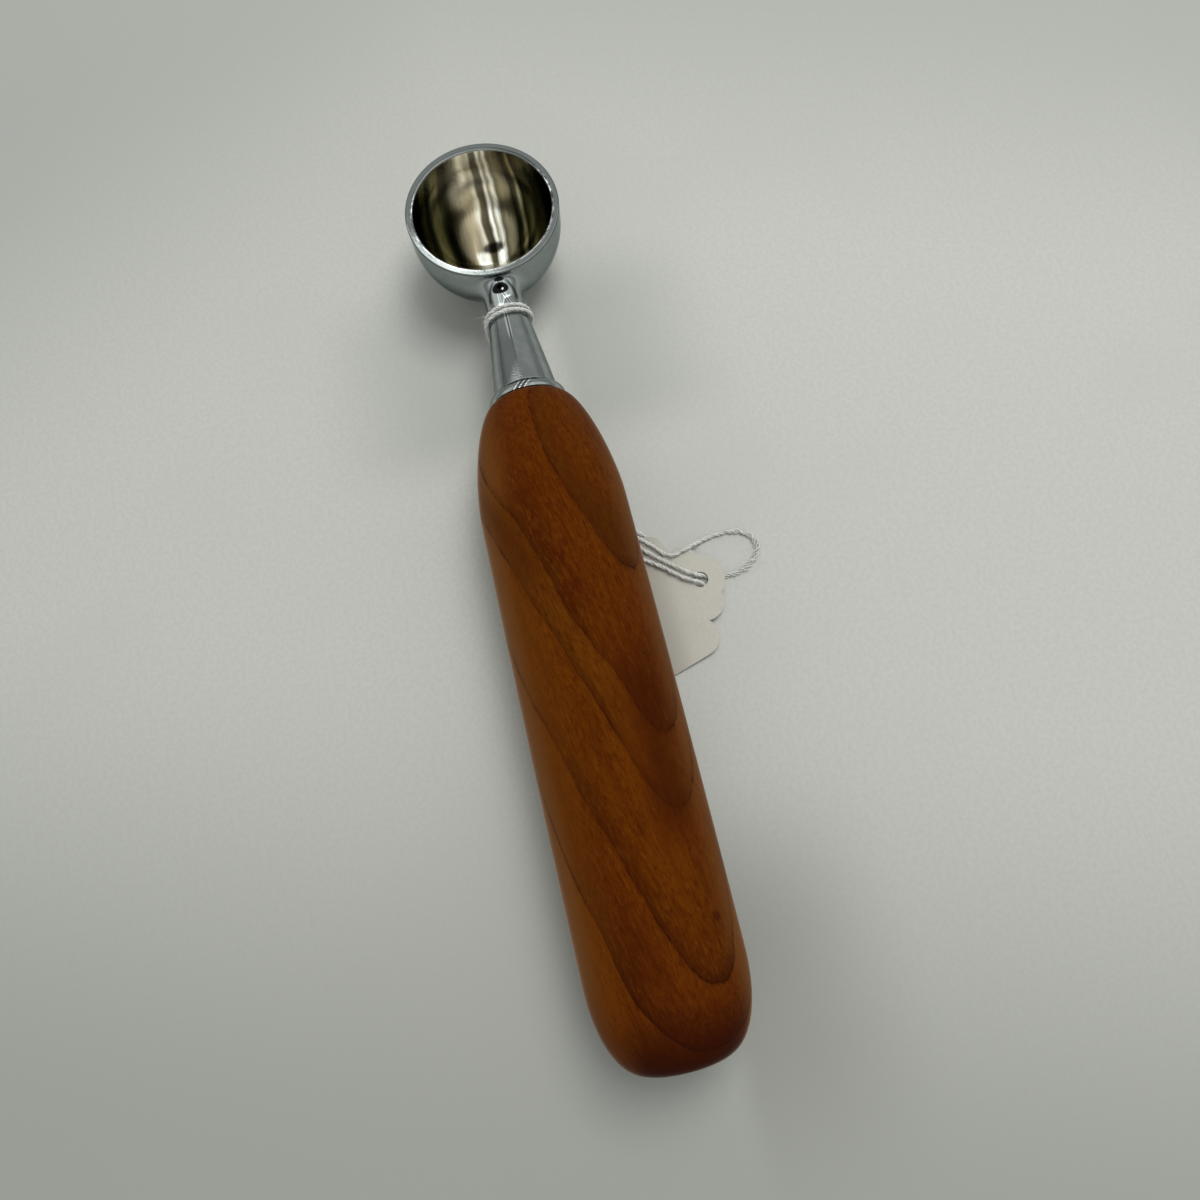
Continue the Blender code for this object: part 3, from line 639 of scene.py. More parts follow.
def add_fuzz(name, middle_line, count, seed):
    points, faces = tube_mesh(fibre_paths(middle_line, count, seed), FIBRE_SIDES)
    piece = add_mesh(name, points, faces, cotton, "collar")
    return piece


turns_piece = add_string_piece("string_on_neck", turn_points(), "string_turns")
lead_piece = add_string_piece("string_free", lead, "string_lead")
knot_piece = add_string_piece("string_overhand_knot", knot_points(knot_centre), "string_knot")
lead_fuzz = add_fuzz("string_fuzz", lead, LEAD_FIBRES, LEAD_FIBRE_SEED)
turns_fuzz = add_fuzz("neck_string_fuzz", turn_points(), NECK_FIBRES, NECK_FIBRE_SEED)
path_length(lead)
print("string pieces carry", len(lead_piece.data.polygons), "faces on the free stretch")

# %% [markdown]
# The handle is one block of cherry, turned round on a lathe and sanded, then oiled to a low sheen.
#
# Its outline is the frame's outline drawn finer, swept round the axis. That gives a silhouette without
# corners, which a plain subdivision of the frame's solid would shrink. The points stand closer towards
# both ends, where the outline bends most.

# %% Handle
HANDLE_BELLY_AT = 76.0 * MM
HANDLE_BELLY_FALL = 0.25 * MM
HANDLE_BELLY_REACH = 60.0 * MM
SHOULDER_LENGTH = 28.0 * MM
SHOULDER_POWER = 1.6
FACE_RADIUS = 9.7 * MM
BUTT_LENGTH = 20.0 * MM
BUTT_POWER = 2.2
BUTT_END_RADIUS = 8.0 * MM
BUTT_DOME = 0.5 * MM
END_CROWDING = 1.7
BORE_RADIUS = 6.3 * MM
BORE_DEPTH = 16.5 * MM
BORE_EASE = 0.3 * MM
HANDLE_SIDES = 192
OUTLINE_STEPS = 30
DOME_SHARES = (0.75, 0.5, 0.25, 0.0)


def handle_body_radius(from_face):
    reach = (from_face - HANDLE_BELLY_AT) / HANDLE_BELLY_REACH
    return HANDLE_RADIUS - HANDLE_BELLY_FALL * reach * reach


def rounded(share, power):
    """Rise from 0 to 1 along an end that is rounded more boldly as the power grows."""
    return (1 - (1 - share) ** power) ** (1 / power)


def handle_profile():
    """Outline of the handle as (x, radius), from the bore's end over the front face to the butt."""
    outline = [(FACE_X - BORE_DEPTH, 0.0), (FACE_X - BORE_DEPTH, BORE_RADIUS),
               (FACE_X - BORE_EASE, BORE_RADIUS), (FACE_X, BORE_RADIUS + BORE_EASE)]
    for step in range(OUTLINE_STEPS + 1):
        share = (step / OUTLINE_STEPS) ** END_CROWDING
        place = share * SHOULDER_LENGTH
        rise = (handle_body_radius(place) - FACE_RADIUS) * rounded(share, SHOULDER_POWER)
        outline.append((FACE_X - place, FACE_RADIUS + rise))
    barrel = HANDLE_LENGTH - SHOULDER_LENGTH - BUTT_LENGTH
    for step in range(1, OUTLINE_STEPS):
        place = SHOULDER_LENGTH + barrel * step / OUTLINE_STEPS
        outline.append((FACE_X - place, handle_body_radius(place)))
    for step in range(OUTLINE_STEPS, -1, -1):
        share = (step / OUTLINE_STEPS) ** END_CROWDING
        place = HANDLE_LENGTH - BUTT_DOME - share * (BUTT_LENGTH - BUTT_DOME)
        rise = (handle_body_radius(place) - BUTT_END_RADIUS) * rounded(share, BUTT_POWER)
        outline.append((FACE_X - place, BUTT_END_RADIUS + rise))
    for share in DOME_SHARES:
        outline.append((FACE_X - HANDLE_LENGTH + BUTT_DOME * share ** 2, BUTT_END_RADIUS * share))
    return outline


def turned_mesh(outline, sides, closed=False):
    """Points and faces of an outline turned about the handle's axis; radius 0 makes a pole."""
    points = []
    rings = []
    for x, radius in outline:
        count = sides if radius > 0 else 1
        rings.append(list(range(len(points), len(points) + count)))
        for side in range(count):
            points.append(axis_point(x, radius, FULL_TURN * side / sides))
    faces = []
    pairs = list(zip(rings, rings[1:]))
    if closed:
        pairs.append((rings[-1], rings[0]))
    for first, second in pairs:
        for side in range(sides):
            following = (side + 1) % sides
            corners = [first[side % len(first)], second[side % len(second)],
                       second[following % len(second)], first[following % len(first)]]
            faces.append(tuple(dict.fromkeys(corners)))
    return points, faces


handle_points, handle_faces = turned_mesh(handle_profile(), HANDLE_SIDES)
print("handle outline has", len(handle_profile()), "points")

# %% [markdown]
# Cherry shows growth rings as pointed arches where the lathe cuts across them.
#
# A ring is a surface inside the block, so its figure can be one formula of place. It was worked out
# from five arches of the picture: the rings slant to the handle, bend across it and spread on their
# way. Noise makes them wander. A ramp then gives the rings their tones, darkest just after each line.

# %% Growth rings
RINGS_ASIDE = 1.4181
RINGS_UP = 2.5808
RINGS_BEND = 0.0755
RINGS_TWIST = 0.035
RINGS_SPREAD_ASIDE = 0.0015
RINGS_SPREAD_UP = 0.0179
RINGS_WANDER = 8.0
RINGS_LOWEST = -90.0
RINGS_SPAN = 200.0
RING_TONES = [
    (0.00, (0.121, 0.0268, 0.0004, 1)), (0.262, (0.117, 0.0257, 0.0005, 1)),
    (0.272, (0.048, 0.0086, 0.0001, 1)), (0.330, (0.074, 0.0139, 0.0002, 1)),
    (0.397, (0.098, 0.0214, 0.0004, 1)), (0.407, (0.057, 0.0118, 0.0002, 1)),
    (0.450, (0.091, 0.0214, 0.0004, 1)), (0.536, (0.098, 0.0235, 0.0006, 1)),
    (0.546, (0.068, 0.0182, 0.0005, 1)), (0.572, (0.092, 0.0257, 0.0011, 1)),
    (0.600, (0.096, 0.0257, 0.0008, 1)), (0.611, (0.052, 0.0107, 0.0002, 1)),
    (0.665, (0.076, 0.0161, 0.0003, 1)), (0.744, (0.091, 0.0203, 0.0004, 1)),
    (0.755, (0.062, 0.0161, 0.0005, 1)), (0.800, (0.083, 0.0203, 0.0004, 1)),
    (1.00, (0.102, 0.0246, 0.0004, 1)),
]


def growth_field(place):
    """A number that is the same all over one growth ring."""
    x, y, height = split(place)
    z = height - AXIS_Z / MM
    wander = noise(place, (0.035, 0.06, 0.06), detail=3.0)
    field = x - RINGS_ASIDE * y + RINGS_UP * z
    field = field + RINGS_BEND * y * y - RINGS_TWIST * (y * z)
    field = field - RINGS_SPREAD_ASIDE * (x * y) - RINGS_SPREAD_UP * (x * z)
    return field + (wander - 0.5) * RINGS_WANDER


def ring_tones(field):
    return ramp((field - RINGS_LOWEST) / RINGS_SPAN, RING_TONES)


print("ring tones", len(RING_TONES), "over", RINGS_SPAN, "mm")

# %% [markdown]
# Between its rings, cherry is streaked along the grain by pores, gum and pale fibres.
#
# Each kind of mark is noise drawn out along the grain, which lies at a small angle to the handle. One
# noise for all the marks would look like a print, so each kind has its own, at its own scale.

# %% Grain
GRAIN_TURN = math.radians(14)
MOTTLED_BROWN = (0.048, 0.006, 0.0002, 1)
PALE_STREAK = (0.140, 0.037, 0.0018, 1)
DARK_FLECK = (0.036, 0.004, 0.0001, 1)
PALE_FLECK = (0.150, 0.046, 0.0030, 1)
GUM_BROWN = (0.060, 0.011, 0.0003, 1)
PORE_BROWN = (0.044, 0.007, 0.0002, 1)
WARM_CLOUD = (0.128, 0.030, 0.0008, 1)
MOTTLED_RING = (38.0, 9.0)


def streaks(grain, along, aside, detail=4.0, roughness=0.65):
    """Noise with so many waves per millimetre along the grain, and aside of it."""
    return noise(grain, (along, aside, aside), detail, roughness)


def grain_marks(place):
    """Each kind of mark by its name."""
    x, y, height = split(place)
    along = x * math.cos(GRAIN_TURN) + y * math.sin(GRAIN_TURN)
    aside = y * math.cos(GRAIN_TURN) - x * math.sin(GRAIN_TURN)
    grain = joined(along, aside, height)
    return {
        "fibre": streaks(grain, 0.12, 2.3),
        "pale": streaks(grain, 0.16, 1.3, roughness=0.6),
        "mottle": streaks(grain, 0.30, 0.80),
        "fleck": streaks(grain, 0.55, 1.7, detail=5.0, roughness=0.7),
        "gum": streaks(grain, 0.035, 0.40, detail=3.0, roughness=0.5),
        "cloud": streaks(place, 0.03, 0.09, detail=3.0, roughness=0.5),
    }


def streaked(colour, field, marks):
    """The rings' tones with the marks over them."""
    mottled = marks["mottle"].step(0.48, 0.62) * (field.band(*MOTTLED_RING) * 0.35 + 0.40)
    colour = mixed(colour, MOTTLED_BROWN, mottled)
    colour = mixed(colour, PALE_STREAK, marks["pale"].step(0.50, 0.66) * 0.32)
    colour = mixed(colour, DARK_FLECK, marks["fleck"].step(0.54, 0.64) * 0.55)
    colour = mixed(colour, PALE_FLECK, marks["fleck"].step(0.45, 0.36) * 0.35)
    colour = mixed(colour, GUM_BROWN, marks["gum"].step(0.50, 0.70) * 0.40)
    colour = mixed(colour, PORE_BROWN, marks["fibre"].step(0.52, 0.66) * 0.50)
    return mixed(colour, WARM_CLOUD, marks["cloud"].step(0.52, 0.72) * 0.30)


print("the grain lies", round(math.degrees(GRAIN_TURN)), "degrees to the handle")

# %% [markdown]
# The wood is browner in parts, and its long sides and the shoulder's left are painted paler as sheen.
#
# A sheen value alone doesn't give the pale sides of the real handle, so they are painted sheen, tones
# laid in by place. Each pair of numbers says, in millimetres, where a tone starts and where it is full.
# The left side is +y and the right side is -y, as the camera sees them.

# %% Painted sheen and browner parts, by place
LEFT_SIDE_SHEEN_TAN = (0.165, 0.050, 0.0040, 1)
LEFT_EDGE_SHEEN = (0.230, 0.100, 0.0280, 1)
RIGHT_EDGE_SHEEN = (0.190, 0.075, 0.0160, 1)
SHOULDER_SHEEN_TAN = (0.170, 0.062, 0.0120, 1)
RUDDY_BROWN = (0.040, 0.006, 0.0002, 1)
SHADED_BROWN = (0.050, 0.009, 0.0002, 1)
OLIVE_BROWN = (0.046, 0.0115, 0.0003, 1)
LEFT_SIDE = (5.0, 16.0)
LEFT_EDGE = (12.0, 17.8)
RIGHT_EDGE = (-12.0, -17.5)
TOWARDS_BUTT = (-70.0, -90.0)
OVER_BUTT = (-82.0, -104.0)


def painted_left_sheen(colour, x, y):
    """Painted sheen along the left side, weaker over the butt."""
    strength = (1 - x.step(*OVER_BUTT) * 0.55) * 0.55
    colour = mixed(colour, LEFT_SIDE_SHEEN_TAN, y.step(*LEFT_SIDE) * strength)
    return mixed(colour, LEFT_EDGE_SHEEN, y.step(*LEFT_EDGE) * strength)


def browner_parts(colour, field, x, y):
    """Ruddy wood down the middle, a browner ring and an olive one inside the first arch."""
    middle_row = y.band(-9.0, 8.0) * x.step(-20.0, -40.0) * x.step(-74.0, -62.0)
    left_of_knot = y.band(4.0, 8.0) * x.band(-89.0, 12.0) * 0.5
    colour = mixed(colour, RUDDY_BROWN, (middle_row + left_of_knot) * 0.75)
    shaded = field.band(24.5, 9.0) * x.step(-16.0, -4.0) * x.step(34.0, 16.0)
    colour = mixed(colour, SHADED_BROWN, shaded * 0.55)
    olive = field.step(58.5, 61.5) * field.step(76.0, 65.0) * x.step(22.0, 4.0)
    return mixed(colour, OLIVE_BROWN, olive * 0.5)


def painted_shoulder_and_right_sheen(colour, x, y):
    """Painted sheen on the shoulder's left, and along the right side, most of all by the butt."""
    shoulder = y.step(7.0, 13.0) * x.step(6.0, 20.0)
    colour = mixed(colour, SHOULDER_SHEEN_TAN, shoulder * 0.5)
    return mixed(colour, RIGHT_EDGE_SHEEN, y.step(*RIGHT_EDGE) * (0.38 + x.step(*TOWARDS_BUTT) * 0.25))


print("stained sides start", LEFT_SIDE[0], "and", RIGHT_EDGE[0], "mm from the middle")

# %% [markdown]
# Each growth ring ends in a thin dark line of latewood, and the butt is darker: end grain with painted
# shade.
#
# The lines are bands of the same field, frayed by the fibre noise so that they look torn by the grain
# and not drawn. A small knot sits on top near the butt: an oval whose edge is broken by the flecks.

# %% Ring lines, end grain with painted shade, and the knot
RING_LINES = (60.0, 30.9, 18.2, -9.5, -36.6)
LINE_HALF_WIDTH = 0.5
LINE_SOFT_SIDE = 0.6
LINE_SOFT_WIDTH = 2.2
LINE_FRAYING = 2.4
LINE_BROWN = (0.030, 0.0045, 0.0003, 1)
LINE_BLACK = (0.013, 0.0018, 0.0001, 1)
END_GRAIN_AND_SHADE_BROWN = (0.027, 0.003, 0.0001, 1)
PIN_KNOT_BROWN = (0.035, 0.004, 0.0003, 1)
PIN_KNOT_PLACE = (-84.7, -12.6)
PIN_KNOT_SQUASH = (0.8, 1.3)
PIN_KNOT_RAGGED = 7.0


def squared(value):
    return value * value


def oval(x, y, centre, squash):
    """0 at the centre, growing outwards over ovals with the square of the distance."""
    return squared(x - centre[0]) * squash[0] + squared(y - centre[1]) * squash[1]


def ring_line_mask(field, fibre):
    """The latewood lines: a thin core, and a soft side where the ring fades into it."""
    torn = field + (fibre - 0.5) * LINE_FRAYING
    mask = None
    for middle in RING_LINES:
        core = torn.band(middle, LINE_HALF_WIDTH) * 0.80
        soft = torn.band(middle + LINE_SOFT_SIDE, LINE_SOFT_WIDTH) * 0.40
        line = core + soft
        mask = line if mask is None else mask.at_least(line)
    return mask


def end_grain_and_shade_mask(x, y):
    """The butt's end, darker from its end grain and from painted shade, least towards its two sides."""
    at_sides = abs(y + 1.0).step(8.0, 15.0)
    return x.step(-94.0, -110.0) * (1 - at_sides * 0.80)


def pin_knot_mask(x, y, height, fleck):
    edge = oval(x, y, PIN_KNOT_PLACE, PIN_KNOT_SQUASH) + (fleck - 0.5) * PIN_KNOT_RAGGED
    return edge.step(1.9, -0.2) * height.step(17.0, 18.0)


print("ring lines", len(RING_LINES), "and one knot at", PIN_KNOT_PLACE)

# %% [markdown]
# Oil leaves cherry almost matt, with a warm sheen where it is looked at along the surface.
#
# The finish lays its layers one over another: tones, marks, browner parts, painted sheen, lines, end
# grain with painted shade and the knot. The same fibre noise that darkens the pores also roughens the
# surface and dents it.


# %% Cherry wood
def cherry_finish():
    material, shader, start = new_finish("oiled_cherry")
    place = object_place(start)
    x, y, height = split(place)
    field = growth_field(place)
    marks = grain_marks(place)
    fibre = marks["fibre"]
    colour = streaked(ring_tones(field), field, marks)
    colour = painted_left_sheen(colour, x, y)
    colour = browner_parts(colour, field, x, y)
    colour = painted_shoulder_and_right_sheen(colour, x, y)
    lines = ring_line_mask(field, fibre)
    colour = mixed(colour, LINE_BROWN, lines * (0.46 + marks["gum"].step(0.40, 0.65) * 0.46))
    colour = mixed(colour, END_GRAIN_AND_SHADE_BROWN, end_grain_and_shade_mask(x, y) * 0.95)
    colour = mixed(colour, LINE_BLACK, lines * x.step(-86.0, -96.0) * 0.55)
    colour = mixed(colour, PIN_KNOT_BROWN, pin_knot_mask(x, y, height, marks["fleck"]) * 0.75)
    shade(
        start, shader, Base_Color=colour, Roughness=0.44 + fibre * 0.14,
        Normal=bump(fibre, 0.03 * MM, 0.5), Specular_IOR_Level=0.03,
        Sheen_Weight=0.45, Sheen_Roughness=0.18, Sheen_Tint=(1.0, 0.86, 0.68, 1),
    )
    return material


cherry = cherry_finish()
handle_piece = add_mesh("turned_handle", handle_points, handle_faces, cherry, "handle", 40)
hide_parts("handle")
print("cherry has", len(cherry.node_tree.nodes), "nodes")

# %% [markdown]
# The head is one casting: a round cup and the neck that leaves its side through a fillet.
#
# The cup is a short straight band over half a ball. Bright plating mirrors every wrinkle of a mesh, so
# each point carries the true direction of the surface there, worked out from the shape itself. The
# section is a list of rows, each with a radius, a depth under the rim and a direction.

# %% The bowl's section
BOWL_WALL = 1.95 * MM
BOWL_BAND = 5.85 * MM
RIM_OUTER_EASE = 0.3 * MM
RIM_INNER_EASE = 0.45 * MM
RIM_X = FACE_X + RIM_CENTRE_FROM_FACE
RIM_ABOVE_AXIS = 7.7 * MM
RIM_Z = AXIS_Z + RIM_ABOVE_AXIS
BOWL_SIDES = 192
WALL_ROWS = 8
ROUND_ROWS = 44
EASE_ROWS = 5


def wall_section(radius, rows_down):
    """(radius, depth, outward, upward) down a wall from the rim's edge to near the pole."""
    quarter = radius * math.pi / 2
    section = []
    for along in rows_down + [BOWL_BAND + quarter * row / ROUND_ROWS for row in range(ROUND_ROWS)]:
        angle = max(0.0, along - BOWL_BAND) / radius
        depth = min(along, BOWL_BAND) + radius * math.sin(angle)
        section.append((radius * math.cos(angle), depth, math.cos(angle), -math.sin(angle)))
    return section


def eased_edge(middle_radius, ease, inward):
    """A quarter circle between a wall and the rim's flat top."""
    section = []
    for row in range(EASE_ROWS + 1):
        angle = math.pi / 2 * row / EASE_ROWS
        outward = math.cos(angle) * (-1 if inward else 1)
        radius = middle_radius + ease * outward
        section.append((radius, ease - ease * math.sin(angle), outward, math.sin(angle)))
    return section


def rows_between(first, last, count):
    return [first + (last - first) * row / count for row in range(count)]


outer_wall = wall_section(BOWL_RADIUS, rows_between(RIM_OUTER_EASE, BOWL_BAND, WALL_ROWS))
inner_radius = BOWL_RADIUS - BOWL_WALL
inner_wall = wall_section(inner_radius, rows_between(RIM_INNER_EASE, BOWL_BAND, WALL_ROWS))
outer_edge = eased_edge(BOWL_RADIUS - RIM_OUTER_EASE, RIM_OUTER_EASE, inward=False)
inner_edge = eased_edge(inner_radius + RIM_INNER_EASE, RIM_INNER_EASE, inward=True)
print("bowl section has", len(outer_wall) + len(inner_wall), "rows")

# %% [markdown]
# The neck grows out of the cup's side, and a fillet joins the two all the way round.
#
# The wall is round and the neck is round, so the fillet is another curve at each angle. It is worked
# out for one angle at a time, as a bend that leaves the neck and lands on the wall with no kink. On
# top it starts earlier, which gives the long dark hollow that shows in front of the string.

# %% The neck's rings and its fillet
NECK_EDGE_EASE = 0.25 * MM
FILLET_AT_SIDE = 3.3 * MM
FILLET_TOP_LOSS = 1.1 * MM
FILLET_TOP_REACH = 3.6 * MM
NECK_SIDES = 144
FILLET_STEPS = 20
TAPER_STEPS = 26
SLOPE_NUDGE = 0.01 * MM


def wall_radius_at(height):
    depth = RIM_Z - height
    if depth <= BOWL_BAND:
        return BOWL_RADIUS
    return math.sqrt(BOWL_RADIUS ** 2 - (depth - BOWL_BAND) ** 2)


def wall_x(side, height):
    """Where the bowl's outer wall stands, on the neck's side."""
    return RIM_X - math.sqrt(wall_radius_at(height) ** 2 - side ** 2)


def wall_normal(point):
    """The way the outer wall faces at a point of it."""
    below = max(0.0, RIM_Z - point.z - BOWL_BAND)
    return Vector((point.x - RIM_X, point.y, -below)).normalized()


def fillet_curve(angle):
    """Points (x, radius) of the fillet at one angle round the neck, tangent to neck and wall."""
    size = FILLET_AT_SIDE - FILLET_TOP_LOSS * math.sin(angle)
    inner = NECK_NARROW_RADIUS
    outer = inner + size

    def wall_at(radius):
        return wall_x(radius * math.cos(angle), AXIS_Z + radius * math.sin(angle))

    slope = (wall_at(outer + SLOPE_NUDGE) - wall_at(outer - SLOPE_NUDGE)) / (2 * SLOPE_NUDGE)
    end = Vector((wall_at(outer), outer))
    corner = Vector((end.x - slope * size, inner))
    reach = size + FILLET_TOP_REACH * max(0.0, math.sin(angle)) ** 2
    start = Vector((corner.x - reach, inner))
    curve = []
    for step in range(FILLET_STEPS + 1):
        share = step / FILLET_STEPS
        curve.append(start * (1 - share) ** 2 + corner * (2 * share * (1 - share)) + end * share ** 2)
    return curve


def neck_grid():
    """Places of the neck's outside, ring after ring from its wide end to the fillet's foot."""
    grid = []
    start = FACE_X + NECK_START
    angles = [FULL_TURN * side / NECK_SIDES for side in range(NECK_SIDES)]
    for row in range(EASE_ROWS):
        turn = math.pi / 2 * row / EASE_ROWS
        radius = NECK_WIDE_RADIUS - NECK_EDGE_EASE * (1 - math.sin(turn))
        x = start + NECK_EDGE_EASE * (1 - math.cos(turn))
        grid.append([axis_point(x, radius, angle) for angle in angles])
    eased = NECK_START + NECK_EDGE_EASE
    for step in range(TAPER_STEPS + 1):
        from_face = eased + (NECK_TAPER_END - eased) * step / TAPER_STEPS
        radius = neck_radius(from_face)
        grid.append([axis_point(FACE_X + from_face, radius, angle) for angle in angles])
    curves = [fillet_curve(angle) for angle in angles]
    for step in range(FILLET_STEPS + 1):
        places = [curve[step] for curve in curves]
        grid.append([axis_point(place.x, place.y, angle) for place, angle in zip(places, angles)])
    return grid


def grid_normals(grid):
    """Outward directions of a ringed surface, from the differences between its neighbours."""
    normals = []
    for row, ring in enumerate(grid):
        before = grid[max(0, row - 1)]
        after = grid[min(len(grid) - 1, row + 1)]
        line = []
        for side in range(len(ring)):
            along = after[side] - before[side]
            around = ring[(side + 1) % len(ring)] - ring[side - 1]
            line.append(around.cross(along).normalized())
        normals.append(line)
    normals[-1] = [wall_normal(point) for point in grid[-1]]
    return normals


print("the neck has", len(neck_grid()), "rings of", NECK_SIDES, "points")

# %% [markdown]
# The fillet's foot is a closed curve on the wall, and the wall's own grid has to meet it.
#
# A boolean would cut the two together, but it leaves long thin faces that show in a mirror. So the
# cells of the wall round the neck are left out, and the gap is filled with triangles between the
# wall's own points and the foot's. It is done flat, on the wall unrolled like a label.

# %% Weaving the neck into the wall
PATCH_SIDE_MARGIN = 1.0 * MM
PATCH_CLEARANCE = 0.35 * MM
SLIVER = 2e-5 * MM * MM
SAME_POINT = 1e-9


class Surface:
    """Points with their true directions, and faces between them."""

    def __init__(self):
        self.points = []
        self.normals = []
        self.faces = []

    def add(self, point, normal):
        self.points.append(point)
        self.normals.append(normal)
        return len(self.points) - 1

    def ring(self, row):
        """A ring of the bowl from one (radius, depth, outward, upward) of its section."""
        radius, depth, outward, upward = row
        ring = []
        for side in range(BOWL_SIDES):
            angle = FULL_TURN * side / BOWL_SIDES
            point = Vector((RIM_X + radius * math.cos(angle), radius * math.sin(angle), RIM_Z - depth))
            normal = Vector((outward * math.cos(angle), outward * math.sin(angle), upward))
            ring.append(self.add(point, normal))
        return ring

    def skin(self, rings, skip=None):
        for row, (first, second) in enumerate(zip(rings, rings[1:])):
            count = len(first)
            for side in range(count):
                if skip and skip(row, side):
                    continue
                following = (side + 1) % count
                self.faces.append((first[side], first[following], second[following], second[side]))

    def close(self, ring, point, normal):
        pole = self.add(point, normal)
        for side in range(len(ring)):
            self.faces.append((ring[side], ring[(side + 1) % len(ring)], pole))


def flat_place(point):
    """Unroll a point of the outer wall: across the neck's side, and down the wall."""
    turn = math.atan2(point.y, point.x - RIM_X) % FULL_TURN
    depth = RIM_Z - point.z
    along = depth
    if depth > BOWL_BAND:
        along = BOWL_BAND + BOWL_RADIUS * math.asin(min(1.0, (depth - BOWL_BAND) / BOWL_RADIUS))
    return Vector((BOWL_RADIUS * (turn - math.pi), along))


def inside_outline(place, outline):
    """Even-odd test of a flat point against a closed outline."""
    inside = False
    for first, second in zip(outline, outline[1:] + outline[:1]):
        if (first.y > place.y) != (second.y > place.y):
            crossing = first.x + (place.y - first.y) / (second.y - first.y) * (second.x - first.x)
            if place.x < crossing:
                inside = not inside
    return inside


def weave(surface, rings, foot):
    """Fill the wall round the fillet's foot with triangles, and say which cells it replaces."""
    outline = [flat_place(surface.points[index]) for index in foot]
    side_step = BOWL_RADIUS * FULL_TURN / BOWL_SIDES
    downs = [flat_place(surface.points[ring[BOWL_SIDES // 2]]).y for ring in rings]
    reach = max(abs(corner.x) for corner in outline) + PATCH_SIDE_MARGIN
    half_columns = math.ceil(reach / side_step)
    middle = BOWL_SIDES // 2
    columns = range(middle - half_columns, middle + half_columns + 1)
    lowest = max(corner.y for corner in outline) + PATCH_SIDE_MARGIN
    last_row = next(row for row, down in enumerate(downs) if down > lowest)
    patch = []
    for row in range(last_row + 1):
        for column in columns:
            place = Vector((side_step * (column - middle), downs[row]))
            edge = row in (0, last_row) or column in (columns[0], columns[-1])
            near = min((place - corner).length for corner in outline) < PATCH_CLEARANCE
            if edge or not (near or inside_outline(place, outline)):
                patch.append((rings[row][column], place))
    foot_start = len(patch)
    patch += list(zip(foot, outline))
    places = [place for index, place in patch]
    count = len(foot)
    foot_edges = [(foot_start + side, foot_start + (side + 1) % count) for side in range(count)]
    result = delaunay_2d_cdt(places, foot_edges, [], 0, SAME_POINT)
    for triangle in result[2]:
        corners = [result[3][corner][0] for corner in triangle]
        first, second, third = (places[corner] for corner in corners)
        doubled_area = abs((second - first).cross(third - first))
        if doubled_area > SLIVER and not inside_outline((first + second + third) / 3, outline):
            surface.faces.append(tuple(patch[corner][0] for corner in corners))
    return lambda row, side: row < last_row and columns[0] <= side < columns[-1]


print("the wall's patch reaches", PATCH_SIDE_MARGIN / MM, "mm past the fillet's foot")

# %% [markdown]
# The whole head is one skin: outside wall, rim, lining, neck, and the bore that the stud screws into.
#
# Each part is a run of rings with faces between them. The wall goes first, because the neck's foot has
# to know which of its cells to take out. The lining's directions point inward, so they are turned round.

# %% The head's surface
HEAD_BORE_RADIUS = 4.2 * MM
HEAD_BORE_DEPTH = 8.0 * MM


def head_surface():
    surface = Surface()
    outer = [surface.ring(row) for row in outer_wall]
    grid = neck_grid()
    neck = [[surface.add(point, normal) for point, normal in zip(ring, normals)]
            for ring, normals in zip(grid, grid_normals(grid))]
    skip = weave(surface, outer, neck[-1])
    surface.skin(outer, skip)
    surface.close(outer[-1], Vector((RIM_X, 0.0, RIM_Z - BOWL_BAND - BOWL_RADIUS)), Vector((0, 0, -1)))
    top = [surface.ring(row) for row in outer_edge[1:]]
    top += [surface.ring(row) for row in reversed(inner_edge)]
    inner = [surface.ring((radius, depth, -outward, -upward))
             for radius, depth, outward, upward in inner_wall[1:]]
    surface.skin([outer[0]] + top + inner)
    surface.close(inner[-1], Vector((RIM_X, 0.0, RIM_Z - BOWL_BAND - inner_radius)), Vector((0, 0, 1)))
    surface.skin(neck)
    mouth = FACE_X + NECK_START
    bore = []
    for x in (mouth + HEAD_BORE_DEPTH, mouth):
        bore.append([surface.add(axis_point(x, HEAD_BORE_RADIUS, FULL_TURN * side / NECK_SIDES),
                                 Vector((-1, 0, 0))) for side in range(NECK_SIDES)])
    surface.skin(bore + [neck[0]])
    surface.faces.append(tuple(bore[0]))
    return surface


head = head_surface()
print("head surface has", len(head.points), "points")

# %% [markdown]
# The cup's inside is polished nickel, which is yellower than the chromium outside it.
#
# One material covers the whole casting, so masks tell its parts apart. The first is the lining: what
# lies within the cup's inner radius and below the rim, with a ragged edge where the two platings meet.
# Angles up from the cup's bottom then say where on the lining a point is.

# %% Where the cup's lining is
LINING_RADIUS = inner_radius / MM
CUP_CENTRE = (RIM_Z - BOWL_BAND) / MM
CUP_AT = RIM_X / MM
RIM_TOP = RIM_Z / MM
AXIS_AT = AXIS_Z / MM
FACE_AT = FACE_X / MM


def root(value):
    return value.math("SQRT", value)


def from_cup_axis(x, y):
    """How far a point is from the cup's upright axis, and its part along the handle."""
    across = x - CUP_AT
    return root(across * across + y * y), across


def lining_mask(place):
    """1 on the cup's inside below the rim, and 0 on the rest of the casting."""
    x, y, height = split(place)
    across = x - CUP_AT
    below = (CUP_CENTRE - height).at_least(0.0)
    reach = root(across * across + y * y + below * below)
    ragged = noise(place, 1.6, detail=3.0) * 0.5
    under_rim = (RIM_TOP - height - ragged).step(0.15, 0.45)
    return reach.step(LINING_RADIUS + 0.5, LINING_RADIUS + 0.3) * under_rim


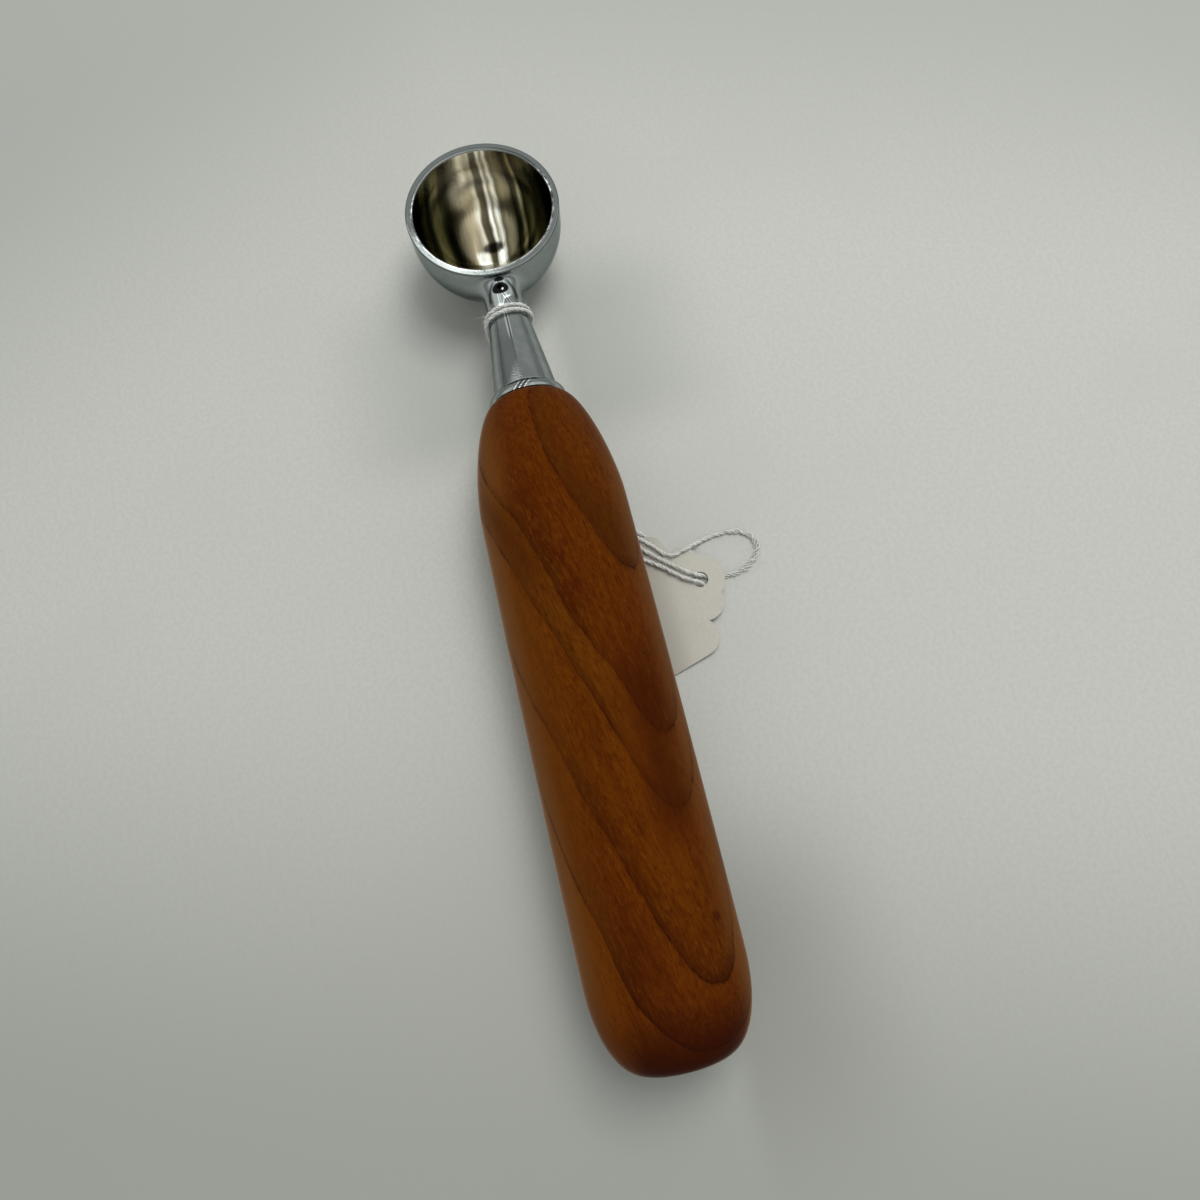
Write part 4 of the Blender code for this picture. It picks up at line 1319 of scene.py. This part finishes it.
def lining_angles(place):
    """How far up from the cup's bottom a point lies, in radians: in all, away from the neck, aside."""
    x, y, height = split(place)
    from_axis, across = from_cup_axis(x, y)
    turned = x.math("ARCTAN2", from_axis, CUP_CENTRE - height)
    return turned, across / from_axis * turned, y / from_axis * turned * -1.0


print("lining radius", round(LINING_RADIUS, 2), "mm")

# %% [markdown]
# The lining mirrors the room and itself in long crooked streaks, and they make up most of its look.
#
# The real room can't be rebuilt, and a plain mirror in a plain room looks empty. So the streaks are
# painted: a ramp of tones from the cup's left to its right, read along lines that meet far beyond the
# neck. Noise bends the lines a little, and the same lines also carry the brushing.

# %% Streaks of the lining
STREAKS_MEET = 2.57
STREAKS_WANDER = 0.035
STREAK_TONES = [
    # the left of the cup: dark, with two olive bands and a thin one
    (0.04, (0.030, 0.030, 0.015, 1)), (0.08, (0.120, 0.118, 0.065, 1)),
    (0.12, (0.150, 0.146, 0.085, 1)), (0.15, (0.020, 0.020, 0.010, 1)),
    (0.18, (0.030, 0.029, 0.015, 1)), (0.21, (0.220, 0.205, 0.120, 1)),
    (0.25, (0.250, 0.230, 0.130, 1)), (0.275, (0.060, 0.055, 0.030, 1)),
    (0.30, (0.012, 0.012, 0.005, 1)), (0.325, (0.020, 0.018, 0.009, 1)),
    (0.35, (0.085, 0.075, 0.045, 1)),
    # a broad khaki field with a bright edge
    (0.385, (0.25, 0.21, 0.135, 1)), (0.41, (0.36, 0.305, 0.20, 1)),
    (0.455, (0.38, 0.33, 0.225, 1)), (0.482, (0.68, 0.64, 0.53, 1)),
    # a dark streak down the middle, and two bright ones beside it
    (0.496, (0.10, 0.085, 0.05, 1)), (0.526, (0.06, 0.052, 0.03, 1)),
    (0.541, (0.92, 0.89, 0.79, 1)), (0.557, (0.20, 0.18, 0.12, 1)),
    (0.578, (0.85, 0.82, 0.71, 1)), (0.598, (0.10, 0.09, 0.05, 1)),
    # the right of the cup: khaki, dark, one thin bright line, then olive and dark
    (0.625, (0.22, 0.19, 0.12, 1)), (0.655, (0.16, 0.14, 0.085, 1)),
    (0.68, (0.015, 0.015, 0.007, 1)), (0.705, (0.05, 0.045, 0.025, 1)),
    (0.725, (0.50, 0.48, 0.36, 1)), (0.745, (0.020, 0.018, 0.009, 1)),
    (0.80, (0.12, 0.12, 0.07, 1)), (0.84, (0.040, 0.040, 0.022, 1)),
    (0.89, (0.090, 0.090, 0.050, 1)), (0.95, (0.025, 0.025, 0.012, 1)),
]
MOTTLED_REFLECTION_DARK = (0.20, 0.19, 0.150, 1)
MOTTLED_REFLECTION_PALE = (0.55, 0.53, 0.46, 1)
LINING_TOP = (0.13, 0.125, 0.11, 1)
CREAM = (0.88, 0.84, 0.74, 1)
BOTTOM_HIGHLIGHT = (0.95, 0.94, 0.86, 1)
NEAR_WALL_REFLECTION = (0.84, 0.80, 0.71, 1)
NEAR_SIDES_REFLECTION_DARK = (0.020, 0.019, 0.010, 1)


def streak_place(place, away, aside):
    """Where a point lies across the streaks: -0.5 at the cup's left, 0.5 at its right."""
    wander = noise(place, 0.16, detail=1.0)
    return aside / (away + STREAKS_MEET) + (wander - 0.5) * STREAKS_WANDER


def brushing(streak, turned):
    """Fine lines along the streaks."""
    return noise(joined(streak * 90.0, turned * 1.5, 0.0), 1.0, detail=3.0, roughness=0.6)


def streaked_tone(streak, turned, brushed):
    """The ramp's tones, brighter up the wall and varied by the brushing."""
    up_the_wall = turned.step(0.55, 0.85) * 0.5 + turned.step(1.30, 1.55) * 0.4 + 1.0
    gain = up_the_wall * (0.8 + brushed * 0.4)
    tone = ramp(streak + 0.5, STREAK_TONES)
    return tone.node("ShaderNodeVectorMath", {"operation": "SCALE"}, {0: tone, "Scale": gain})


def lining_colour(place, turned, away, aside, streak, brushed):
    """Painted reflections: streaks with mottled and cream patches; the near wall is bright, for the far
    wall mirrors it.
    """
    tone = streaked_tone(streak, turned, brushed)
    mottle_noise = noise(place, 2.4, detail=3.0, roughness=0.7)
    mottled_reflection = mixed(MOTTLED_REFLECTION_DARK, MOTTLED_REFLECTION_PALE, mottle_noise.step(0.35, 0.65))
    tone = mixed(tone, mottled_reflection, streak.band(-0.11, 0.07) * away.step(0.75, 1.2) * 0.65)
    tone = mixed(tone, LINING_TOP, away.step(0.9, 1.4) * 0.55)
    tone = mixed(tone, CREAM, streak.band(-0.07, 0.045) * away.step(1.15, 1.40) * 0.8)
    # A painted highlight at the cup's bottom, then painted reflections on the near wall and its dark
    # sides.
    polished = (streak.band(-0.055, 0.045) + streak.band(0.058, 0.024)) * away.step(0.28, 0.16)
    tone = mixed(tone, BOTTOM_HIGHLIGHT, (polished * 1.5).at_most(1.0))
    nickel = mixed(NEAR_WALL_REFLECTION, tone, away.step(-0.12, 0.0))
    near_sides = abs(aside).step(0.95, 1.15) * away.step(0.0, -0.25)
    return mixed(nickel, NEAR_SIDES_REFLECTION_DARK, near_sides * 0.9)


print("streak tones", len(STREAK_TONES))

# %% [markdown]
# A rim gets knocked against jars, so it is dull on top and dented on its lip. Its dark edges are painted
# reflections, and its lip carries painted highlights.
#
# Dents this small are wasted on the mesh. Noise that runs round the rim, in angle and radius, paints the
# lip's highlights as bright dashes, and paints the lip dark between them, where no dent would catch the
# light.

# %% Worn rim, with painted highlights and dark reflections
PAINTED_HIGHLIGHT = (0.95, 0.97, 0.95, 1)
RIM_DULL = (0.33, 0.355, 0.35, 1)
RIM_EDGE_REFLECTION_DARK = (0.04, 0.043, 0.04, 1)
LIP_REFLECTION_DARK = (0.03, 0.033, 0.03, 1)
OUTER_EDGE_LINE = (19.55, 0.28)
INNER_LIP = (18.1, 0.55)
HIGHLIGHT_DASHES_ROUND = 9.0
HIGHLIGHT_DASHES_ACROSS = 1.2


def rim_wear_and_painted_highlights(place, colour):
    """The rim: dull on top, with painted dark reflections along both edges and painted highlights on the
    inner lip.
    """
    x, y, height = split(place)
    from_axis, across = from_cup_axis(x, y)
    on_top = height.step(RIM_TOP - 0.55, RIM_TOP - 0.35)
    turn = x.math("ARCTAN2", y, across)
    dash_noise = noise(joined(turn * HIGHLIGHT_DASHES_ROUND, from_axis * HIGHLIGHT_DASHES_ACROSS, 0.0), 1.0, 3.0, 0.7)
    not_far = across.step(12.0, 4.0)
    near = across.step(-4.0, -12.0)
    colour = mixed(colour, RIM_DULL, on_top * 0.75)
    colour = mixed(colour, RIM_EDGE_REFLECTION_DARK, on_top * from_axis.band(*OUTER_EDGE_LINE) * 0.65)
    lip = on_top * from_axis.band(*INNER_LIP)
    between_highlights = 1 - dash_noise.step(0.42, 0.52) * not_far
    colour = mixed(colour, LIP_REFLECTION_DARK, lip * between_highlights * (y.step(0.0, -14.0) * 0.5 + 0.3))
    bright = dash_noise.step(0.50, 0.58) * not_far + dash_noise.step(0.38, 0.50) * near
    return mixed(colour, PAINTED_HIGHLIGHT, lip * bright.at_most(1.0))


print("the lip's dents lie", INNER_LIP[0], "mm from the cup's axis")

# %% [markdown]
# The tight hollow between neck and cup shows dark reflections, which are painted into the plating.
#
# A mirror in that hollow sees only the cup and itself, and on the real scoop that gives two black
# patches with a glint, under a thin dark arch. Ovals in the plan of the neck paint these reflections and
# the glint where they belong, because a reflection of a room that isn't there can't.

# %% Painted reflections in the fillet's hollow
FILLET_REFLECTION_BLACK = (0.010, 0.011, 0.010, 1)
DARK_PATCH = (70.6, 0.2)
GLINT = (70.4, -0.3)
UNDER_RIM = (72.55, 0.0)
ARCH = (68.5, 0.0)


def painted_fillet_reflections(place, colour):
    """Painted dark reflections and a painted glint in the corner on top of the neck."""
    x, y, height = split(place)
    on_top = height.step(AXIS_AT + 1.0, AXIS_AT + 2.5)
    patch = oval(x, y, DARK_PATCH, (0.55, 0.24)).step(1.25, 0.85)
    glint = oval(x, y, GLINT, (1.0, 1.0)).step(0.14, 0.06)
    corner = oval(x, y, UNDER_RIM, (6.0, 0.55)).step(1.3, 0.6)
    arch = root(oval(x, y, ARCH, (0.055, 0.092))).band(1.0, 0.20)
    arch = arch * x.step(67.0, 68.2) * abs(y).step(0.8, 2.4)
    dark = patch.at_least(corner.at_least(arch * 0.85))
    colour = mixed(colour, FILLET_REFLECTION_BLACK, dark * on_top)
    return mixed(colour, PAINTED_HIGHLIGHT, glint * on_top)


print("the hollow's dark patch is at x =", DARK_PATCH[0], "mm")

# %% [markdown]
# On top of the neck and on the ring, reflections of long lights and dark things round them are painted.
#
# On the neck they are long straight lines: a bright pair, a dark one, and a duller panel with a dark
# edge. In the fillet they slant. The ring has three painted highlights with dark sides. All are bands
# across a straight line, so each is one distance and a half width.

# %% Painted reflections on the neck and highlights on the ring
PANEL_GREY = (0.23, 0.25, 0.245, 1)
PANEL_EDGE_GREY = (0.10, 0.108, 0.105, 1)
NECK_LINE_GREY = (0.06, 0.065, 0.062, 1)
SLANT_GREY = (0.05, 0.054, 0.052, 1)
RING_HIGHLIGHT_SIDE_DARK = (0.05, 0.053, 0.05, 1)
TAPER_FADES = (65.5, 64.5)
FILLET_STARTS = (65.4, 66.0)
FILLET_FADES = (69.9, 69.4)
PANEL_EDGE_FROM = (61.0, 3.1)
PANEL_EDGE_SLOPE = 0.097
SLANT_FROM = 69.3
SLANT = 0.4
RING_HIGHLIGHT_SLANT = 1.0
RING_HIGHLIGHTS_BAND = (2.0, 3.0)
RING_HIGHLIGHT_PLACES = (0.6, 1.9, 3.2)
RING_HIGHLIGHT_HALF_WIDTH = 0.34


def painted_panel_reflection(x, y, colour, taper):
    """A painted duller reflection on the neck's left top with a dark edge, beside a painted dark line
    down the middle.
    """
    from_edge = y - PANEL_EDGE_FROM[1] + (x - PANEL_EDGE_FROM[0]) * PANEL_EDGE_SLOPE
    panel = from_edge.step(0.12, -0.12) * y.step(0.2, 0.5) * x.step(64.0, 54.0) * taper
    colour = mixed(colour, PANEL_GREY, panel * 0.75)
    colour = mixed(colour, PANEL_EDGE_GREY, from_edge.band(0.0, 0.22) * taper * 0.7)
    dark = y.band(0.32, 0.26) * taper * (0.55 + x.step(54.0, 57.0) * 0.45)
    return mixed(colour, NECK_LINE_GREY, dark * 0.9)


def painted_neck_reflections(place, colour):
    """Painted reflections: long lines on top of the neck, slanting in the fillet."""
    x, y, height = split(place)
    on_top = height.step(AXIS_AT + 2.0, AXIS_AT + 3.5) * x.step(FACE_AT + 3.2, FACE_AT + 3.8)
    taper = x.step(*TAPER_FADES) * on_top
    fillet = x.step(*FILLET_FADES) * x.step(*FILLET_STARTS) * on_top
    colour = painted_panel_reflection(x, y, colour, taper)
    slanting = y - (x - SLANT_FROM) * SLANT
    colour = mixed(colour, SLANT_GREY, slanting.band(-0.20, 0.30) * fillet * 0.8)
    pair = (y.band(0.72, 0.34) + y.band(0.02, 0.20)) * x.step(54.5, 58.5) * taper
    slants = (slanting.band(0.12, 0.22) + slanting.band(-0.52, 0.22) + y.band(1.2, 0.2)) * fillet
    return mixed(colour, PAINTED_HIGHLIGHT, (pair + slants).at_most(1.0))


def painted_ring_highlights(place, colour):
    """Slanting painted highlights with dark sides on the collar ring's crown."""
    x, y, height = split(place)
    slanting = y + (x - FACE_AT) * RING_HIGHLIGHT_SLANT
    on_ring = x.step(FACE_AT + 3.2, FACE_AT + 2.6) * height.step(AXIS_AT + 5.5, AXIS_AT + 7.0)
    colour = mixed(colour, RING_HIGHLIGHT_SIDE_DARK, slanting.band(*RING_HIGHLIGHTS_BAND) * on_ring * 0.9)
    for highlight_place in RING_HIGHLIGHT_PLACES:
        colour = mixed(colour, PAINTED_HIGHLIGHT, slanting.band(highlight_place, RING_HIGHLIGHT_HALF_WIDTH) * on_ring)
    return colour


print("nicks on the ring", len(RING_HIGHLIGHT_PLACES))

# %% [markdown]
# Chromium over nickel is a nearly perfect mirror, slightly blue, and uneven where it was buffed.
#
# A metal with low roughness does for it. The shape's own waves, the orange peel of the plating and the
# pits along the rim are bumps; smudges only change the roughness. The head and the ring share this
# finish, since they came out of the same bath.

# %% Chrome
CHROME_DARK = (0.35, 0.38, 0.375, 1)
CHROME_LIGHT = (0.40, 0.43, 0.425, 1)
GROOVE_REFLECTION_DARK = (0.03, 0.033, 0.03, 1)
GROOVE_BAND = (FACE_AT + NECK_START / MM - 0.15, 0.45)
LIP_ANGLES = (1.86, 1.84)


def plating_height(place, lining, turned, brushed):
    """Waves, orange peel, brushing in the lining and pits along the rim."""
    x, y, height = split(place)
    wave = noise(place, 0.12, detail=1.0)
    orange_peel = noise(place, 1.3)
    lip = height.step(RIM_TOP - 0.8, RIM_TOP - 0.1) * turned.step(*LIP_ANGLES)
    pitted = noise(place, 2.6, roughness=0.7) * (lip * 0.14 + 0.006)
    waves = wave * 0.18 * (1 - lining * 0.7)
    return waves + orange_peel * 0.010 + lining * brushed * 0.12 + pitted


def chrome_finish():
    material, shader, start = new_finish("bright_chrome")
    place = object_place(start)
    x, y, height = split(place)
    lining = lining_mask(place)
    turned, away, aside = lining_angles(place)
    streak = streak_place(place, away, aside)
    brushed = brushing(streak, turned)
    smudge = noise(place, 0.35, detail=4.0, roughness=0.6)
    plate = mixed(CHROME_DARK, CHROME_LIGHT, smudge.step(0.35, 0.65))
    # The lining, the neck's lines, the rim's edges and lip, the fillet's hollow, the ring's highlights
    # and the groove line are painted reflections and highlights.
    colour = mixed(plate, lining_colour(place, turned, away, aside, streak, brushed), lining)
    colour = painted_neck_reflections(place, colour)
    colour = rim_wear_and_painted_highlights(place, colour)
    colour = painted_fillet_reflections(place, colour)
    colour = painted_ring_highlights(place, colour)
    # A painted dark reflection in the groove between the ring and the neck.
    colour = mixed(colour, GROOVE_REFLECTION_DARK, x.band(*GROOVE_BAND) * 0.9)
    rough = 0.03 + smudge.step(0.45, 0.8) * 0.04 + lining * (0.08 + away.step(0.3, 0.6) * 0.08)
    relief = plating_height(place, lining, turned, brushed)
    shade(
        start, shader, Base_Color=colour, Metallic=1.0, Roughness=rough,
        Specular_Tint=(0.55, 0.58, 0.58, 1), Normal=bump(relief, 0.25 * MM, 0.8),
    )
    return material


chrome = chrome_finish()
print("chrome has", len(chrome.node_tree.nodes), "nodes")

# %% [markdown]
# The head's own mesh takes the frame's place, with the directions that were worked out for it.
#
# Blender would average the faces round each point, which is near enough for wood but not for a mirror.
# Custom normals keep the true directions. Faces are turned outward by comparing each with them.


# %% The head's piece
def add_surface(name, surface, material, body):
    """A piece from a Surface: unused points dropped, faces turned outward, true directions kept."""
    used = sorted({corner for face in surface.faces for corner in face})
    place_of = {old: new for new, old in enumerate(used)}
    faces = []
    for face in surface.faces:
        middle = sum((surface.points[corner] for corner in face), Vector()) / len(face)
        area = Vector()
        for first, second in zip(face, face[1:] + face[:1]):
            area += (surface.points[first] - middle).cross(surface.points[second] - middle)
        outward = sum((surface.normals[corner] for corner in face), Vector())
        turned = [place_of[corner] for corner in face]
        faces.append(turned if area.dot(outward) > 0 else turned[::-1])
    piece = add_mesh(name, [surface.points[old] for old in used], faces, material, body, 180)
    piece.data.normals_split_custom_set_from_vertices([surface.normals[old] for old in used])
    return piece


head_piece = add_surface("bowl_and_neck", head, chrome, "head")
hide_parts("scoop_head")
print("head has", len(head_piece.data.polygons), "faces")

# %% [markdown]
# The collar ring is turned from brass rod and plated like the head. Its half-round face catches light.
#
# It is one outline turned about the axis, as the handle is. The half-round face rises from the groove
# beside the neck, and the back edge that meets the wood is only eased.

# %% Collar ring
RING_THICKNESS = 2.8 * MM
RING_RADIUS = 9.65 * MM
RING_GROOVE_RADIUS = 8.0 * MM
RING_EASE = 0.35 * MM
RING_BORE_RADIUS = 4.4 * MM
RING_SIDES = 160
ROUND_STEPS = 18


def ring_outline():
    back = FACE_X + SEAT_GAP
    outline = [(back, RING_BORE_RADIUS), (back, RING_RADIUS - 2 * RING_EASE),
               (back + RING_EASE * 0.3, RING_RADIUS - RING_EASE),
               (back + RING_EASE, RING_RADIUS - RING_EASE / 3)]
    for step in range(ROUND_STEPS + 1):
        angle = math.pi / 2 * step / ROUND_STEPS
        radius = RING_GROOVE_RADIUS + (RING_RADIUS - RING_GROOVE_RADIUS) * math.cos(angle)
        x = back + 2 * RING_EASE + (RING_THICKNESS - 2 * RING_EASE) * math.sin(angle)
        outline.append((x, radius))
    outline.append((back + RING_THICKNESS, RING_BORE_RADIUS))
    return outline


ring_points, ring_faces = turned_mesh(ring_outline(), RING_SIDES, closed=True)
ring_piece = add_mesh("plated_collar", ring_points, ring_faces, chrome, "collar", 40)
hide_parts("collar_ring")
print("collar has", len(ring_faces), "faces")

# %% [markdown]
# The tag is thin white card, die cut, with a punched hole, a little darker where the handle shades it.
#
# The tag, the bush and the stud stay as the frame has them, because their shapes are right. They only
# get their materials: pulp and mottling for the card, and turning marks and tarnish for the metals.

# %% Card, brass and steel
CARD_DARK = (0.475, 0.458, 0.404, 1)
CARD_LIGHT = (0.515, 0.498, 0.443, 1)
CARD_MOTTLE = (0.445, 0.423, 0.370, 1)
CARD_BY_HANDLE = (0.36, 0.342, 0.297, 1)
HANDLE_SHADE = (-27.0, -19.5)
BRASS = ((0.72, 0.52, 0.20, 1), (0.45, 0.30, 0.10, 1))
STEEL = ((0.55, 0.57, 0.60, 1), (0.35, 0.36, 0.36, 1))


def card_finish():
    material, shader, start = new_finish("white_card")
    place = object_place(start)
    x, y, height = split(place)
    pulp = noise(place, 1.4, detail=4.0, roughness=0.6)
    mottle = noise(place, 0.12)
    colour = mixed(CARD_DARK, CARD_LIGHT, pulp.step(0.3, 0.7))
    colour = mixed(colour, CARD_MOTTLE, mottle.step(0.5, 0.8) * 0.5)
    # A painted shadow of the handle on the card.
    colour = mixed(colour, CARD_BY_HANDLE, y.step(*HANDLE_SHADE) * 0.9)
    shade(
        start, shader, Base_Color=colour, Roughness=0.7 + pulp * 0.15,
        Normal=bump(pulp, 0.02 * MM, 0.5),
    )
    return material


def turned_metal_finish(name, tones, roughness):
    """Brass or steel with fine turning marks round the axis, its tones light and tarnished."""
    material, shader, start = new_finish(name)
    place = object_place(start)
    marks = noise(place, (14.0, 0.4, 0.4))
    tarnish = noise(place, 0.5, detail=4.0, roughness=0.6)
    colour = mixed(tones[0], tones[1], tarnish.step(0.45, 0.75))
    shade(
        start, shader, Base_Color=colour, Metallic=1.0, Roughness=roughness + marks * 0.15,
        Normal=bump(marks, 0.02 * MM, 0.5),
    )
    return material


def dress(node_name, material):
    """Put a material on a node of the frame."""
    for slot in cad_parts[node_name].material_slots:
        slot.material = material


dress("swing_tag", card_finish())
dress("threaded_insert", turned_metal_finish("turned_brass", BRASS, 0.25))
dress("threaded_stud", turned_metal_finish("zinc_steel", STEEL, 0.28))
print("frame nodes dressed: swing_tag, threaded_insert, threaded_stud")

# %% [markdown]
# The scoop lies on a pale grey sheet, which is darker by the butt, beside the neck and in a far corner.
#
# Those darker parts are soft shadows of things outside the picture, and of the handle under a wide
# ceiling. One lamp can't throw them all, so they are tones in the sheet, laid under the real shadow.

# %% Floor
FLOOR_SIZE = 3.0
SHEET_DARK = (0.475, 0.485, 0.452, 1)
SHEET_LIGHT = (0.505, 0.513, 0.482, 1)
SHEET_CLOUD = (0.46, 0.47, 0.44, 1)
BUTT_CORNER = (0.335, 0.345, 0.318, 1)
BESIDE_BUTT = (0.27, 0.275, 0.252, 1)
BESIDE_NECK = (0.36, 0.375, 0.345, 1)
FAR_CORNER = (0.36, 0.372, 0.345, 1)


def sheet_shadows(colour, x, y):
    """Darker parts of the sheet, each between the places in millimetres where it starts and is full."""
    colour = mixed(colour, BUTT_CORNER, (x - y * 0.35).step(-20.0, -150.0))
    right_of_handle = y.step(-62.0, -24.0) * y.step(-8.0, -16.0)
    left_of_neck = y.step(62.0, 22.0) * y.step(2.0, 9.0)
    beside_butt = right_of_handle * x.step(-55.0, -98.0) * x.step(-160.0, -115.0)
    both_sides = left_of_neck.at_least(right_of_handle)
    beside_neck = both_sides * x.step(28.0, 48.0) * x.step(100.0, 74.0)
    colour = mixed(colour, BESIDE_BUTT, beside_butt * 0.7)
    colour = mixed(colour, BESIDE_NECK, beside_neck * 0.7)
    towards_far_corner = (x + abs(y) * 0.4).step(100.0, 230.0)
    return mixed(colour, FAR_CORNER, towards_far_corner * 0.8)


def sheet_finish():
    material, shader, start = new_finish("pale_sheet")
    place = object_place(start)
    x, y, height = split(place)
    grain = noise(place, 0.9, detail=3.0)
    cloud = noise(place, 0.012)
    colour = mixed(SHEET_DARK, SHEET_LIGHT, grain.step(0.35, 0.65))
    colour = mixed(colour, SHEET_CLOUD, cloud.step(0.5, 0.7) * 0.4)
    colour = sheet_shadows(colour, x, y)
    shade(start, shader, Base_Color=colour, Roughness=0.8, Normal=bump(grain, 0.01 * MM, 0.3))
    return material


def add_floor():
    half = FLOOR_SIZE / 2
    corners = [(-half, -half, 0), (half, -half, 0), (half, half, 0), (-half, half, 0)]
    mesh = bpy.data.meshes.new("floor")
    mesh.from_pydata(corners, [], [(0, 1, 2, 3)])
    mesh.materials.append(sheet_finish())
    floor = bpy.data.objects.new("floor", mesh)
    bpy.context.scene.collection.objects.link(floor)
    return floor


floor = add_floor()
print("floor", FLOOR_SIZE, "m wide")

# %% [markdown]
# Soft daylight falls from a window on the right, far enough up to leave only a faint shadow.
#
# One large area lamp stands for the window. It isn't seen in reflections: the next step paints the
# whole room for those, so that the lamp's square doesn't show on the plating.

# %% Window lamp
WINDOW_PLACE = (0.22, -0.21, 0.76)
WINDOW_WIDTH = 0.36
WINDOW_LENGTH = 0.42
WINDOW_WATTS = 4.15
WINDOW_COLOUR = (1.0, 1.0, 0.98)


def add_window_lamp():
    data = bpy.data.lights.new("window_lamp", "AREA")
    data.shape = "RECTANGLE"
    data.size = WINDOW_WIDTH
    data.size_y = WINDOW_LENGTH
    data.energy = WINDOW_WATTS
    data.color = WINDOW_COLOUR
    lamp = bpy.data.objects.new("window_lamp", data)
    lamp.location = WINDOW_PLACE
    lamp.rotation_euler = (-Vector(WINDOW_PLACE)).to_track_quat("-Z", "Y").to_euler()
    lamp.visible_glossy = False
    bpy.context.scene.collection.objects.link(lamp)
    return lamp


window_lamp = add_window_lamp()
print(window_lamp.name, WINDOW_WATTS, "W, at", WINDOW_PLACE)

# %% [markdown]
# Bright plating shows whatever stands round it, so the room is part of its look.
#
# An image of a room would do, but a formula of direction is smaller and can be changed. The room has a
# grey wall, a brighter ceiling that ends in a bright edge, three tubes on it, and one dark spot
# overhead. Only mirror rays see it; all else gets one even light.

# %% Room
EVEN_LIGHT = (0.53, 0.535, 0.53, 1)
CEILING_STARTS = (0.30, 0.50)
CEILING_ENDS = (0.585, 0.565)
BRIGHT_EDGE_BAND = (0.562, 0.030)
TUBES = ((0.30, 0.07), (-0.14, 0.05), (-0.45, 0.08))
TUBES_END = (0.555, 0.53)
SPOT_AT = (0.08, 0.08)
SPOT_SQUASH = (1.0, 0.30)
SPOT_EDGE = (0.036, 0.020)
DIM_SIDE = (0.72, 0.10)
DIM_HEIGHT = (0.25, 0.22)
IS_GLOSSY_RAY = 3  # place among the Light Path node's outputs


def ceiling_level(x, y, upward):
    """How bright the room is in a direction, without its dark parts."""
    edge = x - y.at_most(0.1).at_least(-0.1) * 0.5
    overhead = upward.step(*CEILING_STARTS) * edge.step(*CEILING_ENDS)
    wall = 0.32 + upward.step(0.0, 0.5) * 0.14
    far_window = x.step(0.84, 0.90) * upward.step(0.1, 0.3) * 0.4
    bright_edge = edge.band(*BRIGHT_EDGE_BAND) * upward.step(0.5, 0.7) * 2.2
    slant = y / upward.at_least(0.05)
    tubes = slant.band(*TUBES[0]) + slant.band(*TUBES[1]) + slant.band(*TUBES[2])
    tubes = tubes * overhead * edge.step(*TUBES_END) * 0.9
    return wall + overhead * 0.45 + far_window + bright_edge + tubes


def room_level(x, y, upward):
    """How bright the room is in a direction, with the dark spot overhead and dimmer sides."""
    spot = oval(x, y, SPOT_AT, SPOT_SQUASH).step(*SPOT_EDGE)
    dim_sides = abs(y).band(*DIM_SIDE) * upward.band(*DIM_HEIGHT)
    dimming = dim_sides * (y.step(-0.1, 0.1) * 0.05 + 0.15)
    return ceiling_level(x, y, upward) * (1 - spot * 0.95) * (1 - dimming)


def build_room():
    world = bpy.data.worlds.new("room")
    bpy.context.scene.world = world
    world.use_nodes = True
    start = Wire(world.node_tree)
    x, y, upward = split(start.node("ShaderNodeTexCoord", output=0))
    level = room_level(x, y, upward)
    mirrored = start.node("ShaderNodeCombineColor", None, {0: level * 0.97, 1: level, 2: level * 0.98})
    is_mirror_ray = start.node("ShaderNodeLightPath", output=IS_GLOSSY_RAY)
    background = world.node_tree.nodes["Background"]
    start.feed(background.inputs["Color"], mixed(EVEN_LIGHT, mirrored, is_mirror_ray))
    return world


room = build_room()
print("room has", len(room.node_tree.nodes), "nodes")
